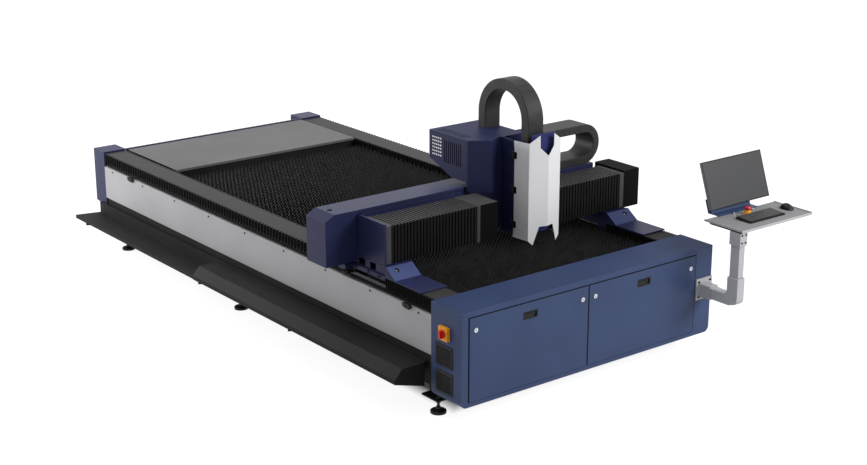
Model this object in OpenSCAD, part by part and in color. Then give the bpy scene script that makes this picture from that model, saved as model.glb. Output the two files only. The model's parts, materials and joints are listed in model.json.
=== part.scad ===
// Flat-bed laser cutting machine: slatted bed, travelling gantry with cutting head, front cabinet, console.
// Millimetres. The floor is z = 0, x runs across the machine and y runs from the cabinet to the rear.

/* [Overall] */
// Width over the front cabinet
machine_w = 2000; // [1800:10:2400]
// Length from the cabinet's front face to the back of the rear posts
machine_l = 4494; // [4200:1:6000]
// Height of the cabinet's underside above the floor
base_z = 110; // [95:1:160]
// Running clearance between sliding faces
run_gap = 0.3; // [0.2:0.05:0.6]

/* [Bed] */
// Height of the rail seats above the cabinet's underside
bed_h = 490; // [440:1:520]
// Height of the bed's side beams
beam_side_h = 450; // [360:1:470]
// Width of the bed's side beams
bed_beam_w = 172; // [150:1:200]
// Wall of the bed's tubes
tube_wall = 10; // [6:1:16]
// Inset of the side panels from the cabinet's sides
panel_inset = 10; // [5:1:30]
// Depth of the side panels' folds
panel_fold = 18; // [14:1:25]
// Height of the side panels
panel_h = 241; // [180:1:260]
// Drop of the side panels' top edge below the bellows
panel_drop = 24; // [4:1:30]
// Sheet thickness of panels and covers
sheet = 3; // [2:0.5:4]
// Number of cross members under the slats
cross_count = 5; // [3:1:8]
// Height of the cross members
cross_h = 120; // [80:1:160]

/* [Slats] */
// Distance from one slat to the next
slat_pitch = 55; // [45:1:90]
// Height of a slat with its teeth
slat_h = 100; // [70:1:130]
// Thickness of a slat
slat_t = 4; // [2:0.5:8]
// Distance from tooth to tooth
tooth_pitch = 30; // [24:1:80]
// Depth of the teeth
tooth_h = 22; // [15:1:40]
// Rise of the tooth tips above the rail seats
slat_rise = 52; // [30:1:56]
// Gap between the cabinet and the first slat
slat_start = 66; // [40:1:120]

/* [Side shelves] */
// Reach of the shelves beyond the cabinet's sides
shelf_reach = 205; // [120:1:260]
// Height of the shelf's fold above the cabinet's underside
shelf_z = 102; // [80:1:140]
// Height of the shelf's upright band
shelf_band = 80; // [50:1:110]
// Height of the shelf's outer lip
shelf_lip = 24; // [15:1:40]
// Rise of the shelf towards its outer edge
shelf_rise = 14; // [0:1:30]
// Distance of the shelves' rear end from the rear of the machine
shelf_back = 94; // [40:1:200]
// Rear end of the raised shelf covers, from the cabinet's front
shelf_cover_end = 2616; // [1800:1:3200]

/* [Feet] */
// Diameter of a levelling foot's pad
foot_pad_d = 95; // [70:1:130]
// Diameter of a levelling foot's spindle
foot_stem_d = 16; // [12:1:24]
// Height of the foot plates above the floor
foot_plate_z = 75; // [65:1:90]
// Distance of the feet from the cabinet's sides
foot_inset = 35; // [25:1:60]

/* [Rear] */
// Width of a rear post
post_w = 182; // [140:1:220]
// Depth of a rear post
post_d = 170; // [120:1:220]
// Height of the posts' top above the rail seats
post_rise = 94; // [88:1:120]
// Height of the posts' underside above the cabinet's underside
post_lift = 130; // [60:1:200]
// Chamfer at the posts' lower outer corner
post_chamfer = 48; // [20:1:70]
// Length of the rear cover plate
deck_l = 750; // [400:1:1000]
// Height of the rear cover plate above the rail seats
deck_rise = 88; // [84:1:92]

/* [Cabinet] */
// Depth of the cabinet
cabinet_d = 274; // [220:1:360]
// Height of the cabinet
cabinet_h = 571; // [520:1:640]
// Radius of the cabinet's lower corners
cabinet_r = 38; // [15:1:60]
// Inset of the left door from the cabinet's left side
door_left_inset = 49; // [30:1:80]
// Inset of the right door from the cabinet's right side
door_right_inset = 143; // [110:1:200]
// Distance of the doors from the cabinet's top
door_top = 35; // [20:1:60]
// Distance of the doors from the cabinet's underside
door_bottom = 26; // [18:1:50]
// Gap around the doors
door_gap = 4; // [3:0.5:8]
// Depth of the door's folded edge
door_fold = 18; // [12:1:30]
// Distance of the locks from the doors' side edges
lock_inset = 50; // [35:1:90]
// Drop of the locks and handles below the doors' top edge
lock_drop = 80; // [60:1:120]
// Diameter of a quarter-turn lock
lock_d = 28; // [20:1:36]
// Width of a recessed handle
handle_w = 106; // [80:1:130]
// Height of a recessed handle
handle_h = 46; // [36:1:60]
// Side of the main switch's plate
switch_side = 80; // [60:1:100]
// Side of a vent grille
vent_w = 150; // [110:1:170]
// Height of a vent grille
vent_h = 132; // [100:1:150]

/* [Gantry] */
// Distance of the beam's front face from the cabinet's front
gantry_y = 1029; // [960:1:1200]
// Depth of the beam
beam_d = 186; // [150:1:220]
// Height of the beam
beam_h = 250; // [220:1:300]
// Depth of the bellows box in front of the beam
box_d = 275; // [240:1:300]
// Height of the risers between feet and beam
riser_h = 60; // [45:1:80]
// Thickness of the gantry's base plates
foot_t = 28; // [20:1:40]
// Rise of the beam's top cover
cover_rise = 26; // [15:1:40]
// Reach of the left end cover beyond the cabinet's side
end_reach = 198; // [150:1:260]
// Length of the flat apron in front of each gantry foot
apron_l = 246; // [120:1:260]

/* [Bellows] */
// Depth of a pleat on the bed's rail covers
rail_pleat = 16; // [8:0.5:20]
// Number of pleats in a long rail cover
rail_pleats = 86; // [60:1:120]
// Pitch of the pleats in the short rail covers in front of the gantry
front_pitch = 18; // [10:1:30]
// Depth of a pleat on the gantry's bellows
box_pleat = 22; // [12:1:30]
// Pitch of the gantry bellows' pleats
box_pitch = 24; // [18:1:40]
// Rise of the rail covers' lower edge between two pleats
rail_tooth = 12; // [0:1:20]
// Thickness of a bellows' wall
bellows_wall = 4; // [2:0.5:6]

/* [Carriage] */
// Place of the cutting head across the machine
head_x = 227; // [0:1:300]
// Width of the head's shell
shell_w = 282; // [240:1:340]
// Height of the carriage housing
housing_h = 267; // [220:1:320]
// Depth of the carriage housing behind the beam's front face
housing_d = 361; // [300:1:420]
// Reach of the housing to the left of the head
housing_left = 377; // [330:1:420]
// Width of the drag chain that rises to the head
z_chain_w = 126; // [70:1:150]
// Thickness of that chain
z_chain_t = 68; // [50:1:80]
// Middle radius of that chain's bend
z_chain_r = 208; // [180:1:240]
// Thickness of the chain along the beam
x_chain_t = 54; // [30:1:58]
// Outer radius of the bend of the chain along the beam
x_chain_r = 134; // [118:1:138]
// Number of holes along the vent's row
vent_cols = 5; // [3:1:6]
// Number of rows of vent holes
vent_rows = 6; // [3:1:7]

/* [Head] */
// Depth of the front shroud's sides
shroud_d = 124; // [90:1:150]
// Depth of the shroud's prow
prow_d = 37; // [15:1:60]
// Height of the shroud's sides
shroud_h = 625; // [560:1:680]
// Height of the shroud's horns above its sides
horn_h = 45; // [20:1:70]
// Length of the shroud's lower points
fang_h = 30; // [15:1:45]
// Width of the slots at the shroud's top and foot
slot_w = 110; // [80:1:140]
// Diameter of the cutting head's barrel
barrel_d = 74; // [60:1:90]
// Diameter of the nozzle's tip
nozzle_d = 12; // [8:1:20]

/* [Console] */
// Width of the tray
tray_w = 642; // [560:1:760]
// Depth of the tray
tray_d = 308; // [260:1:380]
// Height of the tray above the cabinet's underside
tray_z = 762; // [720:1:860]
// Height of the tray's rim
tray_rim = 14; // [8:1:24]
// Distance of the post from the cabinet's front
post_reach = 277; // [240:1:340]
// Width of the post
arm_w = 48; // [40:1:60]
// Depth of the post
arm_d = 70; // [56:1:80]
// Wall of the castings around the post
socket_wall = 8; // [5:0.5:12]
// Height of the arm's axis above the cabinet's underside
arm_z = 304; // [260:1:340]
// Side of the arm's wall plate
flange = 138; // [120:1:160]
// Width of the monitor
monitor_w = 538; // [440:1:620]
// Height of the monitor
monitor_h = 300; // [260:1:360]
// Thickness of the monitor
monitor_t = 34; // [20:1:50]
// Tilt of the monitor
monitor_tilt = 19.6; // [0:0.1:30]
// Width of the keyboard
keyboard_w = 315; // [280:1:450]
// Depth of the keyboard
keyboard_d = 120; // [100:1:130]

/* [Hidden] */
$fn = 48;
eps = 0.01;

// Paint and finishes
navy = "#3B4268";
silver = "#B9B9BB";
charcoal = "#3A3A3C";
black = "#1C1C1D";
grey = "#707172";
steel = "#9A9B9D";
white = "#DCDCDE";
yellow = "#F0A21E";
red = "#C8232B";

// Places across the machine
half_w = machine_w / 2;
panel_x = half_w - panel_inset;
bed_x1 = panel_x - panel_fold;
bed_x0 = bed_x1 - bed_beam_w;
rail_x = (bed_x0 + bed_x1) / 2 - 2;
foot_half = bed_beam_w / 2 + 10;
end_x = panel_x - 22;
end_plate_t = 13;
flange_t = 34;
frame_flange_t = 24;

// Heights
bed_top = base_z + bed_h;
bed_z0 = bed_top - beam_side_h;
cabinet_top = base_z + cabinet_h;
rail_w = 34;
rail_h = 30;
rack_w = 24;
rack_h = 28;
rack_out = rail_x + foot_half - rail_pleat - bellows_wall - 2;
block_h = 62;
block_w = 90;
block_l = 100;
foot_z = bed_top + block_h;
foot_top = foot_z + foot_t;
riser_top = foot_top + riser_h;
beam_top = riser_top + beam_h;
cover_top = beam_top + cover_rise;
bellows_z0 = bed_top + 12;
bellows_top = foot_top - 10;
panel_top = bellows_z0 - panel_drop + sheet / 2;
panel_gap = 18;
deck_top = bed_top + deck_rise;
deck_t = 4;
slat_top = bed_top + slat_rise;
slat_z0 = slat_top - slat_h;

// Legs and feet
foot_x = half_w - foot_inset;
leg_inset = 40;
leg_back = 30;
foot_plate_l = 124;
foot_plate_w = 54;
foot_plate_t = 10;
nut_h = 13;
foot_spindle = foot_plate_z + foot_plate_t + nut_h + 12;
cross_start = 120;
cross_w = 100;
deck_bar = 60;

// Doors, locks and handles
door_z0 = base_z + door_bottom;
door_z1 = cabinet_top - door_top;
lock_z = door_z1 - lock_drop;
stile = 14;
lock_barrel = lock_d - 8;
lock_flange = 4;
lock_l = 22;
dish_w = handle_w - 10;
dish_h = handle_h - 10;
dish_d = 14;
paddle_x = dish_w / 4;
paddle_pin_d = 4;
paddle_pin_z = dish_h / 2 - 12;

// Places along the machine
post_y = machine_l - post_d;
post_x0 = bed_x0 - 2;
post_x1 = post_x0 + post_w;
bed_y0 = cabinet_d;
deck_y1 = post_y - 14;
deck_y0 = deck_y1 - deck_l;
deck_x = rail_x - foot_half - 4;
slat_y0 = bed_y0 + slat_start;
slat_count = floor((deck_y0 - 10 - slat_y0) / slat_pitch);
ledge_t = 10;
ledge_w = 40;
slat_half = rail_x - foot_half - 6;
foot_rows = [cabinet_d - 23, (cabinet_d + post_y) / 2 + 116, post_y - 287];

// The gantry
beam_y1 = gantry_y + beam_d;
foot_y1 = beam_y1 + 10;
box_y = gantry_y - box_d;
riser_y = box_y - 14;
slope_y = riser_y - 100;
apron_y = slope_y - apron_l;
apron_t = 8;
slope_land = 12;
slope = atan(riser_h / (riser_y - slope_land - slope_y));
eye_d = 30;
eye_drop = 34;
eye_depth = 12;
eye_y = riser_y - slope_land - eye_drop * cos(slope);
eye_z = riser_top - eye_drop * sin(slope);
box_z0 = riser_top + 2;
box_top = beam_top - 12;
beam_x = rail_x + 56;
motor_y = gantry_y + beam_d / 2 + 5;
pinion_r = 25;
motor_x = rack_out + pinion_r + run_gap;
motor_d = 92;
motor_h = 230;
cap_w = 124;
cap_wall = 5;
cover_x = half_w + end_reach;
end_cover_w = 122;
seam_x = cover_x - end_cover_w;
end_bevel = 67;
cover_hole_d = 32;
beam_cover_end = head_x - 167;

front_pleats = ceil((riser_y - bed_y0) / front_pitch);

// The carriage, set out from the head
shell_x0 = head_x - shell_w / 2;
shell_x1 = head_x + shell_w / 2;
x_rail_out = 24;
x_rail_w = 30;
saddle_t = 25;
saddle_rise = 60;
saddle_block_l = 110;
saddle_y1 = gantry_y - x_rail_out - 20;
saddle_y0 = saddle_y1 - saddle_t;
shell_d = 122;
shell_y0 = saddle_y0 - shell_d;
shell_z0 = riser_top - 40;
shell_wall = 4;
housing_z0 = beam_top + x_chain_t + 2;
housing_top = housing_z0 + housing_h;
housing_x0 = head_x - housing_left;
housing_x1 = head_x + 37;
housing_y1 = gantry_y + housing_d;
housing_bevel = 120;
slot_foot = 184;
slot_head = 40;
frame_x0 = head_x - 477;
frame_x1 = head_x - 339;
frame_x2 = shell_x1 + 17;
frame_x3 = frame_x2 + 25;
x_chain_out = 27;
chain_x = end_x + x_chain_out - x_chain_r;
x_chain_y = gantry_y + 6;

// The head
shroud_y = shell_y0 - shroud_d;
shroud_z1 = housing_top;
shroud_z0 = shroud_z1 - shroud_h;
shroud_in = 19;
head_y = shell_y0 - 28;
nozzle_z = shroud_z0 + 50;
slide_y = shell_y0 + 42;
slide_t = 20;
slide_top = shroud_z1 - 33;
slide_half = 105;
slide_foot = 80;
guide_h = 90;
clamp_wall = 12;
clamp_z = 190;
clamp_h = 70;
z_rail_out = 20;
z_rail_x = 77;
z_rail_w = 20;
z_rail_y = saddle_y0 - shell_wall - z_rail_out;
hinge_d = 14;
hinge_l = 40;
z_chain_rise = 106;
chain_z = housing_top + z_chain_rise;
chain_y0 = slide_y - 108;
chain_head_x = housing_x1 - z_chain_w / 2;

// The console
tray_top = base_z + tray_z;
post_x = half_w - 86;
post_yc = -post_reach;
tray_x0 = post_x - 31;
tray_y0 = post_yc - 55;
tray_y1 = tray_y0 + tray_d;
tray_t = 3;
arm_top = base_z + arm_z + 150;
head_z0 = tray_top - tray_t - 99;
wall_plate_t = 10;
carrier_t = 16;
carrier_z = tray_top - tray_t - carrier_t;
pivot_d = 40;
pivot_h = 13;
socket_w = arm_w + 2 * socket_wall;
socket_d = arm_d + 2 * socket_wall;
flange_x = half_w - 70;
button_d = 22;

// The origin is under the middle of the whole machine
out_x0 = -max(cover_x, half_w + shelf_reach + sheet / 2 + 7);
out_x1 = max(tray_x0 + tray_w, cover_x, half_w + shelf_reach + sheet / 2 + 7);
centre_x = (out_x0 + out_x1) / 2;
centre_y = (tray_y0 + machine_l) / 2;

module place() translate([-centre_x, -centre_y, 0]) children();

module block(lo, hi) translate(lo) cube(hi - lo);

// Right-hand shapes are drawn at positive x, left-hand ones are their mirror image
module on_side(s) {
    if (s < 0) mirror([1, 0, 0]) children();
    else children();
}

// An outline in x and z, pushed along y
module along_y(y0, y1) translate([0, y1, 0]) rotate([90, 0, 0]) linear_extrude(y1 - y0) children();

// An outline in y and z, pushed along x
module along_x(x0, x1) translate([x0, 0, 0]) rotate([90, 0, 90]) linear_extrude(x1 - x0) children();

// Outlines: the point where two edges meet after both move to their left by t
function edge_normal(a, b) = [a.y - b.y, b.x - a.x] / norm(b - a);
function moved_corner(a, b, c, t) =
    let (n = edge_normal(a, b), m = edge_normal(b, c))
    b + t * (n + m) / (1 + n * m);

// A closed outline moved inwards by t, its points in order against the clock
function inset(p, t) = [
    for (i = [0 : len(p) - 1])
        moved_corner(p[(i + len(p) - 1) % len(p)], p[i], p[(i + 1) % len(p)], t)
];

// One side of a sheet that follows a line of points
function sheet_side(p, t) = let (n = len(p) - 1) [
    p[0] + t * edge_normal(p[0], p[1]),
    for (i = [1 : n - 1]) moved_corner(p[i - 1], p[i], p[i + 1], t),
    p[n] + t * edge_normal(p[n - 1], p[n])
];
function backwards(p) = [for (i = [len(p) - 1 : -1 : 0]) p[i]];

// The section of a folded sheet along a line of points, with square ends
module folded(points, t) polygon(concat(sheet_side(points, t / 2), backwards(sheet_side(points, -t / 2))));

// Bellows between two like outlines that take turns, the first at every crest; walls run along y
module bellows(length, pleats, crest, valley) {
    n = len(crest);
    rings = 2 * pleats;
    points = [
        for (i = [0 : rings], p = i % 2 == 0 ? crest : valley)
            [p.x, length * i / rings, p.y]
    ];
    walls = [
        for (i = [0 : rings - 1], j = [0 : n - 1])
            [i * n + j, i * n + (j + 1) % n, (i + 1) * n + (j + 1) % n, (i + 1) * n + j]
    ];
    arms = [for (j = [0 : n / 2 - 2]) [j, j + 1, n - 2 - j, n - 1 - j]];
    front = [for (a = arms) [a[3], a[2], a[1], a[0]]];
    back = [for (a = arms) [for (k = a) rings * n + k]];
    polyhedron(points, concat(walls, front, back));
}

// Three-sided outlines for bellows: two legs and a top, open below
function arch_outline(w, z0, z1, t) = [
    [-w, z0], [-w, z1], [w, z1], [w, z0], [w - t, z0], [w - t, z1 - t], [t - w, z1 - t], [t - w, z0]
];

module bed_frame() color(charcoal) {
    for (s = [-1, 1]) on_side(s) difference() {
        block([bed_x0, bed_y0, bed_z0], [bed_x1, post_y, bed_top]);
        block([bed_x0 + tube_wall, bed_y0 - 1, bed_z0 + tube_wall],
              [bed_x1 - tube_wall, post_y + 1, bed_top - tube_wall]);
    }
    for (i = [0 : cross_count - 1]) {
        y = bed_y0 + cross_start + i * (post_y - bed_y0 - cross_w - 2 * cross_start) / (cross_count - 1);
        block([-bed_x0 - eps, y, bed_z0], [bed_x0 + eps, y + cross_w, bed_z0 + cross_h]);
    }
    for (y = [deck_y0 + 20, deck_y1 - 80]) {
        block([-bed_x0 - eps, y, slat_z0 - ledge_t], [bed_x0 + eps, y + deck_bar, bed_top - tube_wall]);
        block([-deck_x, y, bed_top - tube_wall - eps], [deck_x, y + deck_bar, deck_top - deck_t]);
    }
}

// Legs under the bed, each with a plate that reaches out over its levelling foot
module bed_legs() color(charcoal) for (s = [-1, 1]) on_side(s) for (y = foot_rows) {
    block([bed_x0 + leg_inset, y + leg_back, foot_plate_z], [bed_x1 - leg_inset, y + foot_plate_l, bed_z0]);
    difference() {
        block([bed_x0 + leg_inset, y - foot_plate_w / 2, foot_plate_z],
              [foot_x + foot_plate_w / 2, y + foot_plate_l, foot_plate_z + foot_plate_t]);
        translate([foot_x, y, foot_plate_z - 1]) cylinder(d = foot_stem_d + 2 * run_gap, h = foot_plate_t + 2);
    }
}

// A pad on a spindle, with a lock nut under the foot plate and one on top of it
module levelling_feet() color(black) for (s = [-1, 1]) on_side(s) for (y = foot_rows)
    translate([foot_x, y, 0]) {
        rotate_extrude() polygon([
            [0, 0], [foot_pad_d / 2, 0], [foot_pad_d / 2, 14], [foot_pad_d / 2 - 5, 18], [foot_stem_d, 26],
            [foot_stem_d * 0.8, 40], [foot_stem_d / 2, 40], [foot_stem_d / 2, foot_spindle], [0, foot_spindle]
        ]);
        for (z = [foot_plate_z - nut_h, foot_plate_z + foot_plate_t])
            translate([0, 0, z]) cylinder(d = 1.8 * foot_stem_d, h = nut_h, $fn = 6);
    }

module side_panels() color(silver) for (s = [-1, 1]) on_side(s) along_y(bed_y0, post_y - panel_gap) folded([
        [bed_x1, panel_top - sheet], [panel_x - sheet / 2, panel_top - sheet],
        [panel_x - sheet / 2, panel_top - panel_h], [bed_x1, panel_top - panel_h]
    ], sheet);

// The shelf along the bed's side, on gusset plates
shelf_fold = [half_w, base_z + shelf_z];
shelf_edge = [half_w + shelf_reach, base_z + shelf_z + shelf_rise];
shelf_y0 = cabinet_d + 58;
shelf_y1 = machine_l - shelf_back;
gusset_rows = [shelf_y0 + 1120, shelf_cover_end - 60, shelf_y1 - 170];
gusset_h = 68;
gusset_drop = 18;
module side_shelf() {
    difference() {
        along_y(shelf_y0 + 2 * sheet, shelf_y1) folded([
            [bed_x1, shelf_fold.y + shelf_band], [shelf_fold.x, shelf_fold.y + shelf_band], shelf_fold,
            shelf_edge, [shelf_edge.x, shelf_edge.y - shelf_lip]
        ], sheet);
        block([bed_x1 - 1, post_y - 2, shelf_fold.y + shelf_band - 2 * sheet],
              [post_x1 + 2, shelf_y1 + 1, shelf_fold.y + shelf_band + 2 * sheet]);
    }
    for (y = gusset_rows)
        along_y(y, y + 2 * sheet) polygon([
            shelf_fold, [shelf_fold.x, shelf_fold.y - gusset_h],
            [shelf_edge.x, shelf_edge.y - shelf_lip - gusset_drop],
            shelf_edge
        ]);
}
module side_shelves() color(charcoal) for (s = [-1, 1]) on_side(s) side_shelf();

// The raised cover over the front half of the shelf
cover_z = shelf_fold.y + shelf_band - 4;
module shelf_cover() {
    x0 = half_w + sheet / 2;
    x1 = half_w + shelf_reach - 45;
    x2 = half_w + shelf_reach + 7;
    z2 = shelf_edge.y + 6;
    along_y(shelf_y0, shelf_cover_end) folded([[x0, cover_z], [x1, cover_z], [x2, z2], [x2, z2 - 28]], sheet);
    along_y(shelf_y0, shelf_y0 + sheet) polygon([
        [x0, cover_z], [x1, cover_z], [x2, z2], [x2, z2 - 28], [x0, shelf_fold.y - gusset_h]
    ]);
    along_y(shelf_cover_end - sheet, shelf_cover_end) polygon([
        [x0, cover_z], [x1, cover_z], [x2, z2], [x2 - 1, z2 - 1], [x0, shelf_fold.y + 6]
    ]);
}
module shelf_covers() color(charcoal) for (s = [-1, 1]) on_side(s) shelf_cover();

module rear_posts() color(navy) for (s = [-1, 1]) on_side(s) along_y(post_y, machine_l) polygon([
        [post_x0, base_z + post_lift], [post_x1 - post_chamfer, base_z + post_lift],
        [post_x1, base_z + post_lift + post_chamfer], [post_x1, bed_top + post_rise],
        [post_x0, bed_top + post_rise]
    ]);

// The blue sheet between the posts, folded at its top and foot
module rear_panel() color(navy) along_x(-bed_x0 + 3, bed_x0 - 3) folded([
        [post_y + 20, base_z + post_lift + 12], [post_y + 1.5, base_z + post_lift + 12],
        [post_y + 1.5, deck_top + 2], [post_y + 20, deck_top + 2]
    ], sheet);

// The grey plate over the rear of the bed, with a folded front edge
module rear_deck() color(grey) {
    block([-deck_x, deck_y0, deck_top - deck_t], [deck_x, deck_y1, deck_top]);
    block([-deck_x, deck_y0, deck_top - 18], [deck_x, deck_y0 + deck_t, deck_top]);
}

module slat_ledges() color(charcoal) for (s = [-1, 1]) on_side(s)
    along_y(bed_y0 + 20, deck_y0) polygon([
        [bed_x0, slat_z0 - ledge_t], [bed_x0, bed_top], [bed_x0 - ledge_t, bed_top],
        [bed_x0 - ledge_t, slat_z0], [bed_x0 - ledge_w, slat_z0], [bed_x0 - ledge_w, slat_z0 - ledge_t]
    ]);

// Upright plates with a saw-toothed top edge that carry the sheet being cut
module slats() color(black) {
    teeth = floor(2 * slat_half / tooth_pitch);
    step = 2 * slat_half / teeth;
    outline = concat(
        [[slat_half, slat_z0], [slat_half, slat_top - tooth_h]],
        [for (i = [0 : teeth - 1]) each [
            [slat_half - (i + 0.5) * step, slat_top], [slat_half - (i + 1) * step, slat_top - tooth_h]
        ]],
        [[-slat_half, slat_z0]]
    );
    for (i = [0 : slat_count - 1])
        along_y(slat_y0 + i * slat_pitch, slat_y0 + i * slat_pitch + slat_t) polygon(outline);
}

// Guide rails with a ball groove on each side, and the racks beside them
module y_guides() color(steel) for (s = [-1, 1]) on_side(s) {
    along_y(bed_y0 + 10, post_y - 6) difference() {
        translate([rail_x - rail_w / 2, bed_top]) square([rail_w, rail_h]);
        for (k = [-1, 1]) translate([rail_x + k * rail_w / 2, bed_top + 19]) circle(r = 4);
    }
    block([rack_out - rack_w, bed_y0 + 10, bed_top], [rack_out, post_y - 6, bed_top + rack_h]);
}

rail_crest = arch_outline(foot_half, bellows_z0, bellows_top, bellows_wall);
rail_valley = arch_outline(foot_half - rail_pleat, bellows_z0 + rail_tooth, bellows_top - 1, bellows_wall);
module rail_bellows() color(charcoal) for (s = [-1, 1]) on_side(s) translate([rail_x, foot_y1, 0])
    bellows(post_y - foot_y1, rail_pleats, rail_crest, rail_valley);
module front_bellows() color(charcoal) for (s = [-1, 1]) on_side(s) translate([rail_x, bed_y0, 0])
    bellows(riser_y - bed_y0, front_pleats, rail_crest, rail_valley);

// The cabinet is a sheet box, round at its lower corners and lower rear edge
module cabinet_front(inset) {
    r = cabinet_r - inset;
    w = half_w - inset;
    translate([-w, base_z + inset + r]) square([2 * w, cabinet_h - 2 * inset - r]);
    translate([-w + r, base_z + inset]) square([2 * (w - r), cabinet_h - 2 * inset]);
    for (s = [-1, 1]) translate([s * (w - r), base_z + inset + r]) circle(r = r);
}
module cabinet_side(inset) {
    r = cabinet_r - inset;
    translate([inset, base_z + inset]) square([cabinet_d - 2 * inset - r, cabinet_h - 2 * inset]);
    translate([inset, base_z + inset + r]) square([cabinet_d - 2 * inset, cabinet_h - 2 * inset - r]);
    translate([cabinet_d - inset - r, base_z + inset + r]) circle(r = r);
}
module cabinet_body(inset) intersection() {
    along_y(inset, cabinet_d - inset) cabinet_front(inset);
    along_x(inset - half_w, half_w - inset) cabinet_side(inset);
}

// The doors' edges from left to right, and their heights
door_x = [-half_w + door_left_inset, (door_left_inset - door_right_inset) / 2, half_w - door_right_inset];
module cabinet_shell() color(navy) difference() {
    cabinet_body(0);
    cabinet_body(sheet);
    for (k = [0, 1])
        block([door_x[k] + (k == 0 ? 0 : stile / 2), -1, door_z0], [door_x[k + 1] - (k == 0 ? stile / 2 : 0),
               sheet + 1, door_z1]);
    vent_openings();
    along_x(-half_w - 1, -half_w + sheet + 1) translate([switch_y, switch_z]) circle(d = 16);
}

// The sheet doors drop forward about their lower edge
function door_edge(k) = [
    door_x[k] + door_gap / 2 + (k == 0 ? door_gap / 2 : 0),
    door_x[k + 1] - door_gap / 2 - (k == 0 ? 0 : door_gap / 2)
];
module door_sheet(k) {
    e = door_edge(k);
    h = [door_x[k] + (k == 0 ? 0 : stile / 2) + door_gap, door_x[k + 1] - (k == 0 ? stile / 2 : 0) - door_gap];
    difference() {
        union() {
            block([e[0], -sheet, door_z0 + door_gap], [e[1], 0, door_z1 - door_gap / 2]);
            difference() {
                block([h[0], -eps, door_z0 + 2 * door_gap], [h[1], door_fold, door_z1 - 2 * door_gap]);
                block([h[0] + sheet, -1, door_z0 + 2 * door_gap + sheet],
                      [h[1] - sheet, door_fold + 1, door_z1 - 2 * door_gap - sheet]);
            }
        }
        for (x = lock_places(k)) along_y(-sheet - 1, 1) translate([x, lock_z]) circle(d = lock_barrel);
        block([handle_x(k) - dish_w / 2 - run_gap, -sheet - 1, lock_z - dish_h / 2 - run_gap],
              [handle_x(k) + dish_w / 2 + run_gap, 1, lock_z + dish_h / 2 + run_gap]);
    }
}
function lock_places(k) = [door_x[k] + lock_inset, door_x[k + 1] - lock_inset];
function handle_x(k) = (door_x[k] + door_x[k + 1]) / 2;
module door(k) {
    door_sheet(k);
    handle_dish(k);
}
module door_left() color(navy) door(0);
module door_right() color(navy) door(1);

// A quarter-turn lock: a flanged barrel with a square key socket and a cam behind the door
module lock(x) translate([x, 0, lock_z]) color(steel) rotate([90, 0, 0]) {
    difference() {
        union() {
            translate([0, 0, sheet]) cylinder(d = lock_d, h = lock_flange);
            translate([0, 0, -lock_l]) cylinder(d = lock_barrel - 2 * run_gap, h = lock_l + sheet + eps);
        }
        translate([0, 0, sheet - 4]) linear_extrude(10) square(lock_d / 3.5, center = true);
    }
    translate([-7, 7 - lock_inset + 12, -lock_l - 3]) cube([14, lock_inset - 12, 3 + eps]);
}
module lock_1() lock(lock_places(0)[0]);
module lock_2() lock(lock_places(0)[1]);
module lock_3() lock(lock_places(1)[0]);
module lock_4() lock(lock_places(1)[1]);

// The dish of a recessed handle: a flanged tray with a key barrel and the ears of the paddle's pin
module handle_dish(k) translate([handle_x(k), 0, lock_z]) difference() {
    union() {
        difference() {
            union() {
                block([-dish_w / 2, -sheet - eps, -dish_h / 2], [dish_w / 2, dish_d, dish_h / 2]);
                block([-handle_w / 2, -sheet - 2, -handle_h / 2], [handle_w / 2, -sheet, handle_h / 2]);
            }
            block([4 - dish_w / 2, -sheet - 3, 4 - dish_h / 2], [dish_w / 2 - 4, dish_d - 4, dish_h / 2 - 4]);
        }
        block([paddle_x + run_gap, -2, paddle_pin_z - 5], [paddle_x + 4, dish_d - 3, paddle_pin_z + 5]);
        translate([dish_w / 2 - 14, dish_d - 3, 0]) rotate([90, 0, 0]) cylinder(d = 16, h = dish_d - 4);
    }
    translate([2 - dish_w / 2, 0, paddle_pin_z]) rotate([0, 90, 0])
        cylinder(d = paddle_pin_d + 2 * run_gap, h = paddle_x + dish_w / 2 + 6);
}

// The paddle swings out about a pin near its upper edge
module paddle(k) color(charcoal) translate([handle_x(k), 0, lock_z]) {
    block([4.5 - dish_w / 2, -sheet - 1, 4.5 - dish_h / 2], [paddle_x, 2, paddle_pin_z + 4]);
    translate([2.5 - dish_w / 2, 0, paddle_pin_z]) rotate([0, 90, 0])
        cylinder(d = paddle_pin_d, h = paddle_x + dish_w / 2 + 1);
}
module paddle_left() paddle(0);
module paddle_right() paddle(1);

// Side of the cabinet: main switch and two louvred vents
switch_y = cabinet_d / 2 + 6;
vent_y = cabinet_d / 2 + 17;
vent_margin = 14;
vent_gap = 27;
switch_gap = 34;
vent_z = base_z + cabinet_r + vent_margin + vent_h / 2;
vent_rows_z = [vent_z, vent_z + vent_h + vent_gap];
switch_z = vent_rows_z[1] + vent_h / 2 + switch_gap + switch_side / 2;
module vent_openings() for (z = vent_rows_z)
    block([-half_w - 1, vent_y - vent_w / 2 + 8, z - vent_h / 2 + 8],
          [-half_w + sheet + 1, vent_y + vent_w / 2 - 8, z + vent_h / 2 - 8]);
module vent_grilles() color(charcoal) for (z = vent_rows_z) difference() {
    block([-half_w - 5, vent_y - vent_w / 2, z - vent_h / 2], [-half_w, vent_y + vent_w / 2, z + vent_h / 2]);
    for (i = [0 : 8]) {
        zi = z - vent_h / 2 + 12 + i * (vent_h - 24) / 9;
        block([-half_w - 6, vent_y - vent_w / 2 + 10, zi], [-half_w + 1, vent_y + vent_w / 2 - 10,
               zi + (vent_h - 24) / 18]);
    }
}
module switch_plate() color(yellow) difference() {
    block([-half_w - 22, switch_y - switch_side / 2, switch_z - switch_side / 2],
          [-half_w, switch_y + switch_side / 2, switch_z + switch_side / 2]);
    along_x(-half_w - 23, -half_w + 1) translate([switch_y, switch_z]) circle(d = 14 + 2 * run_gap);
}
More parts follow.
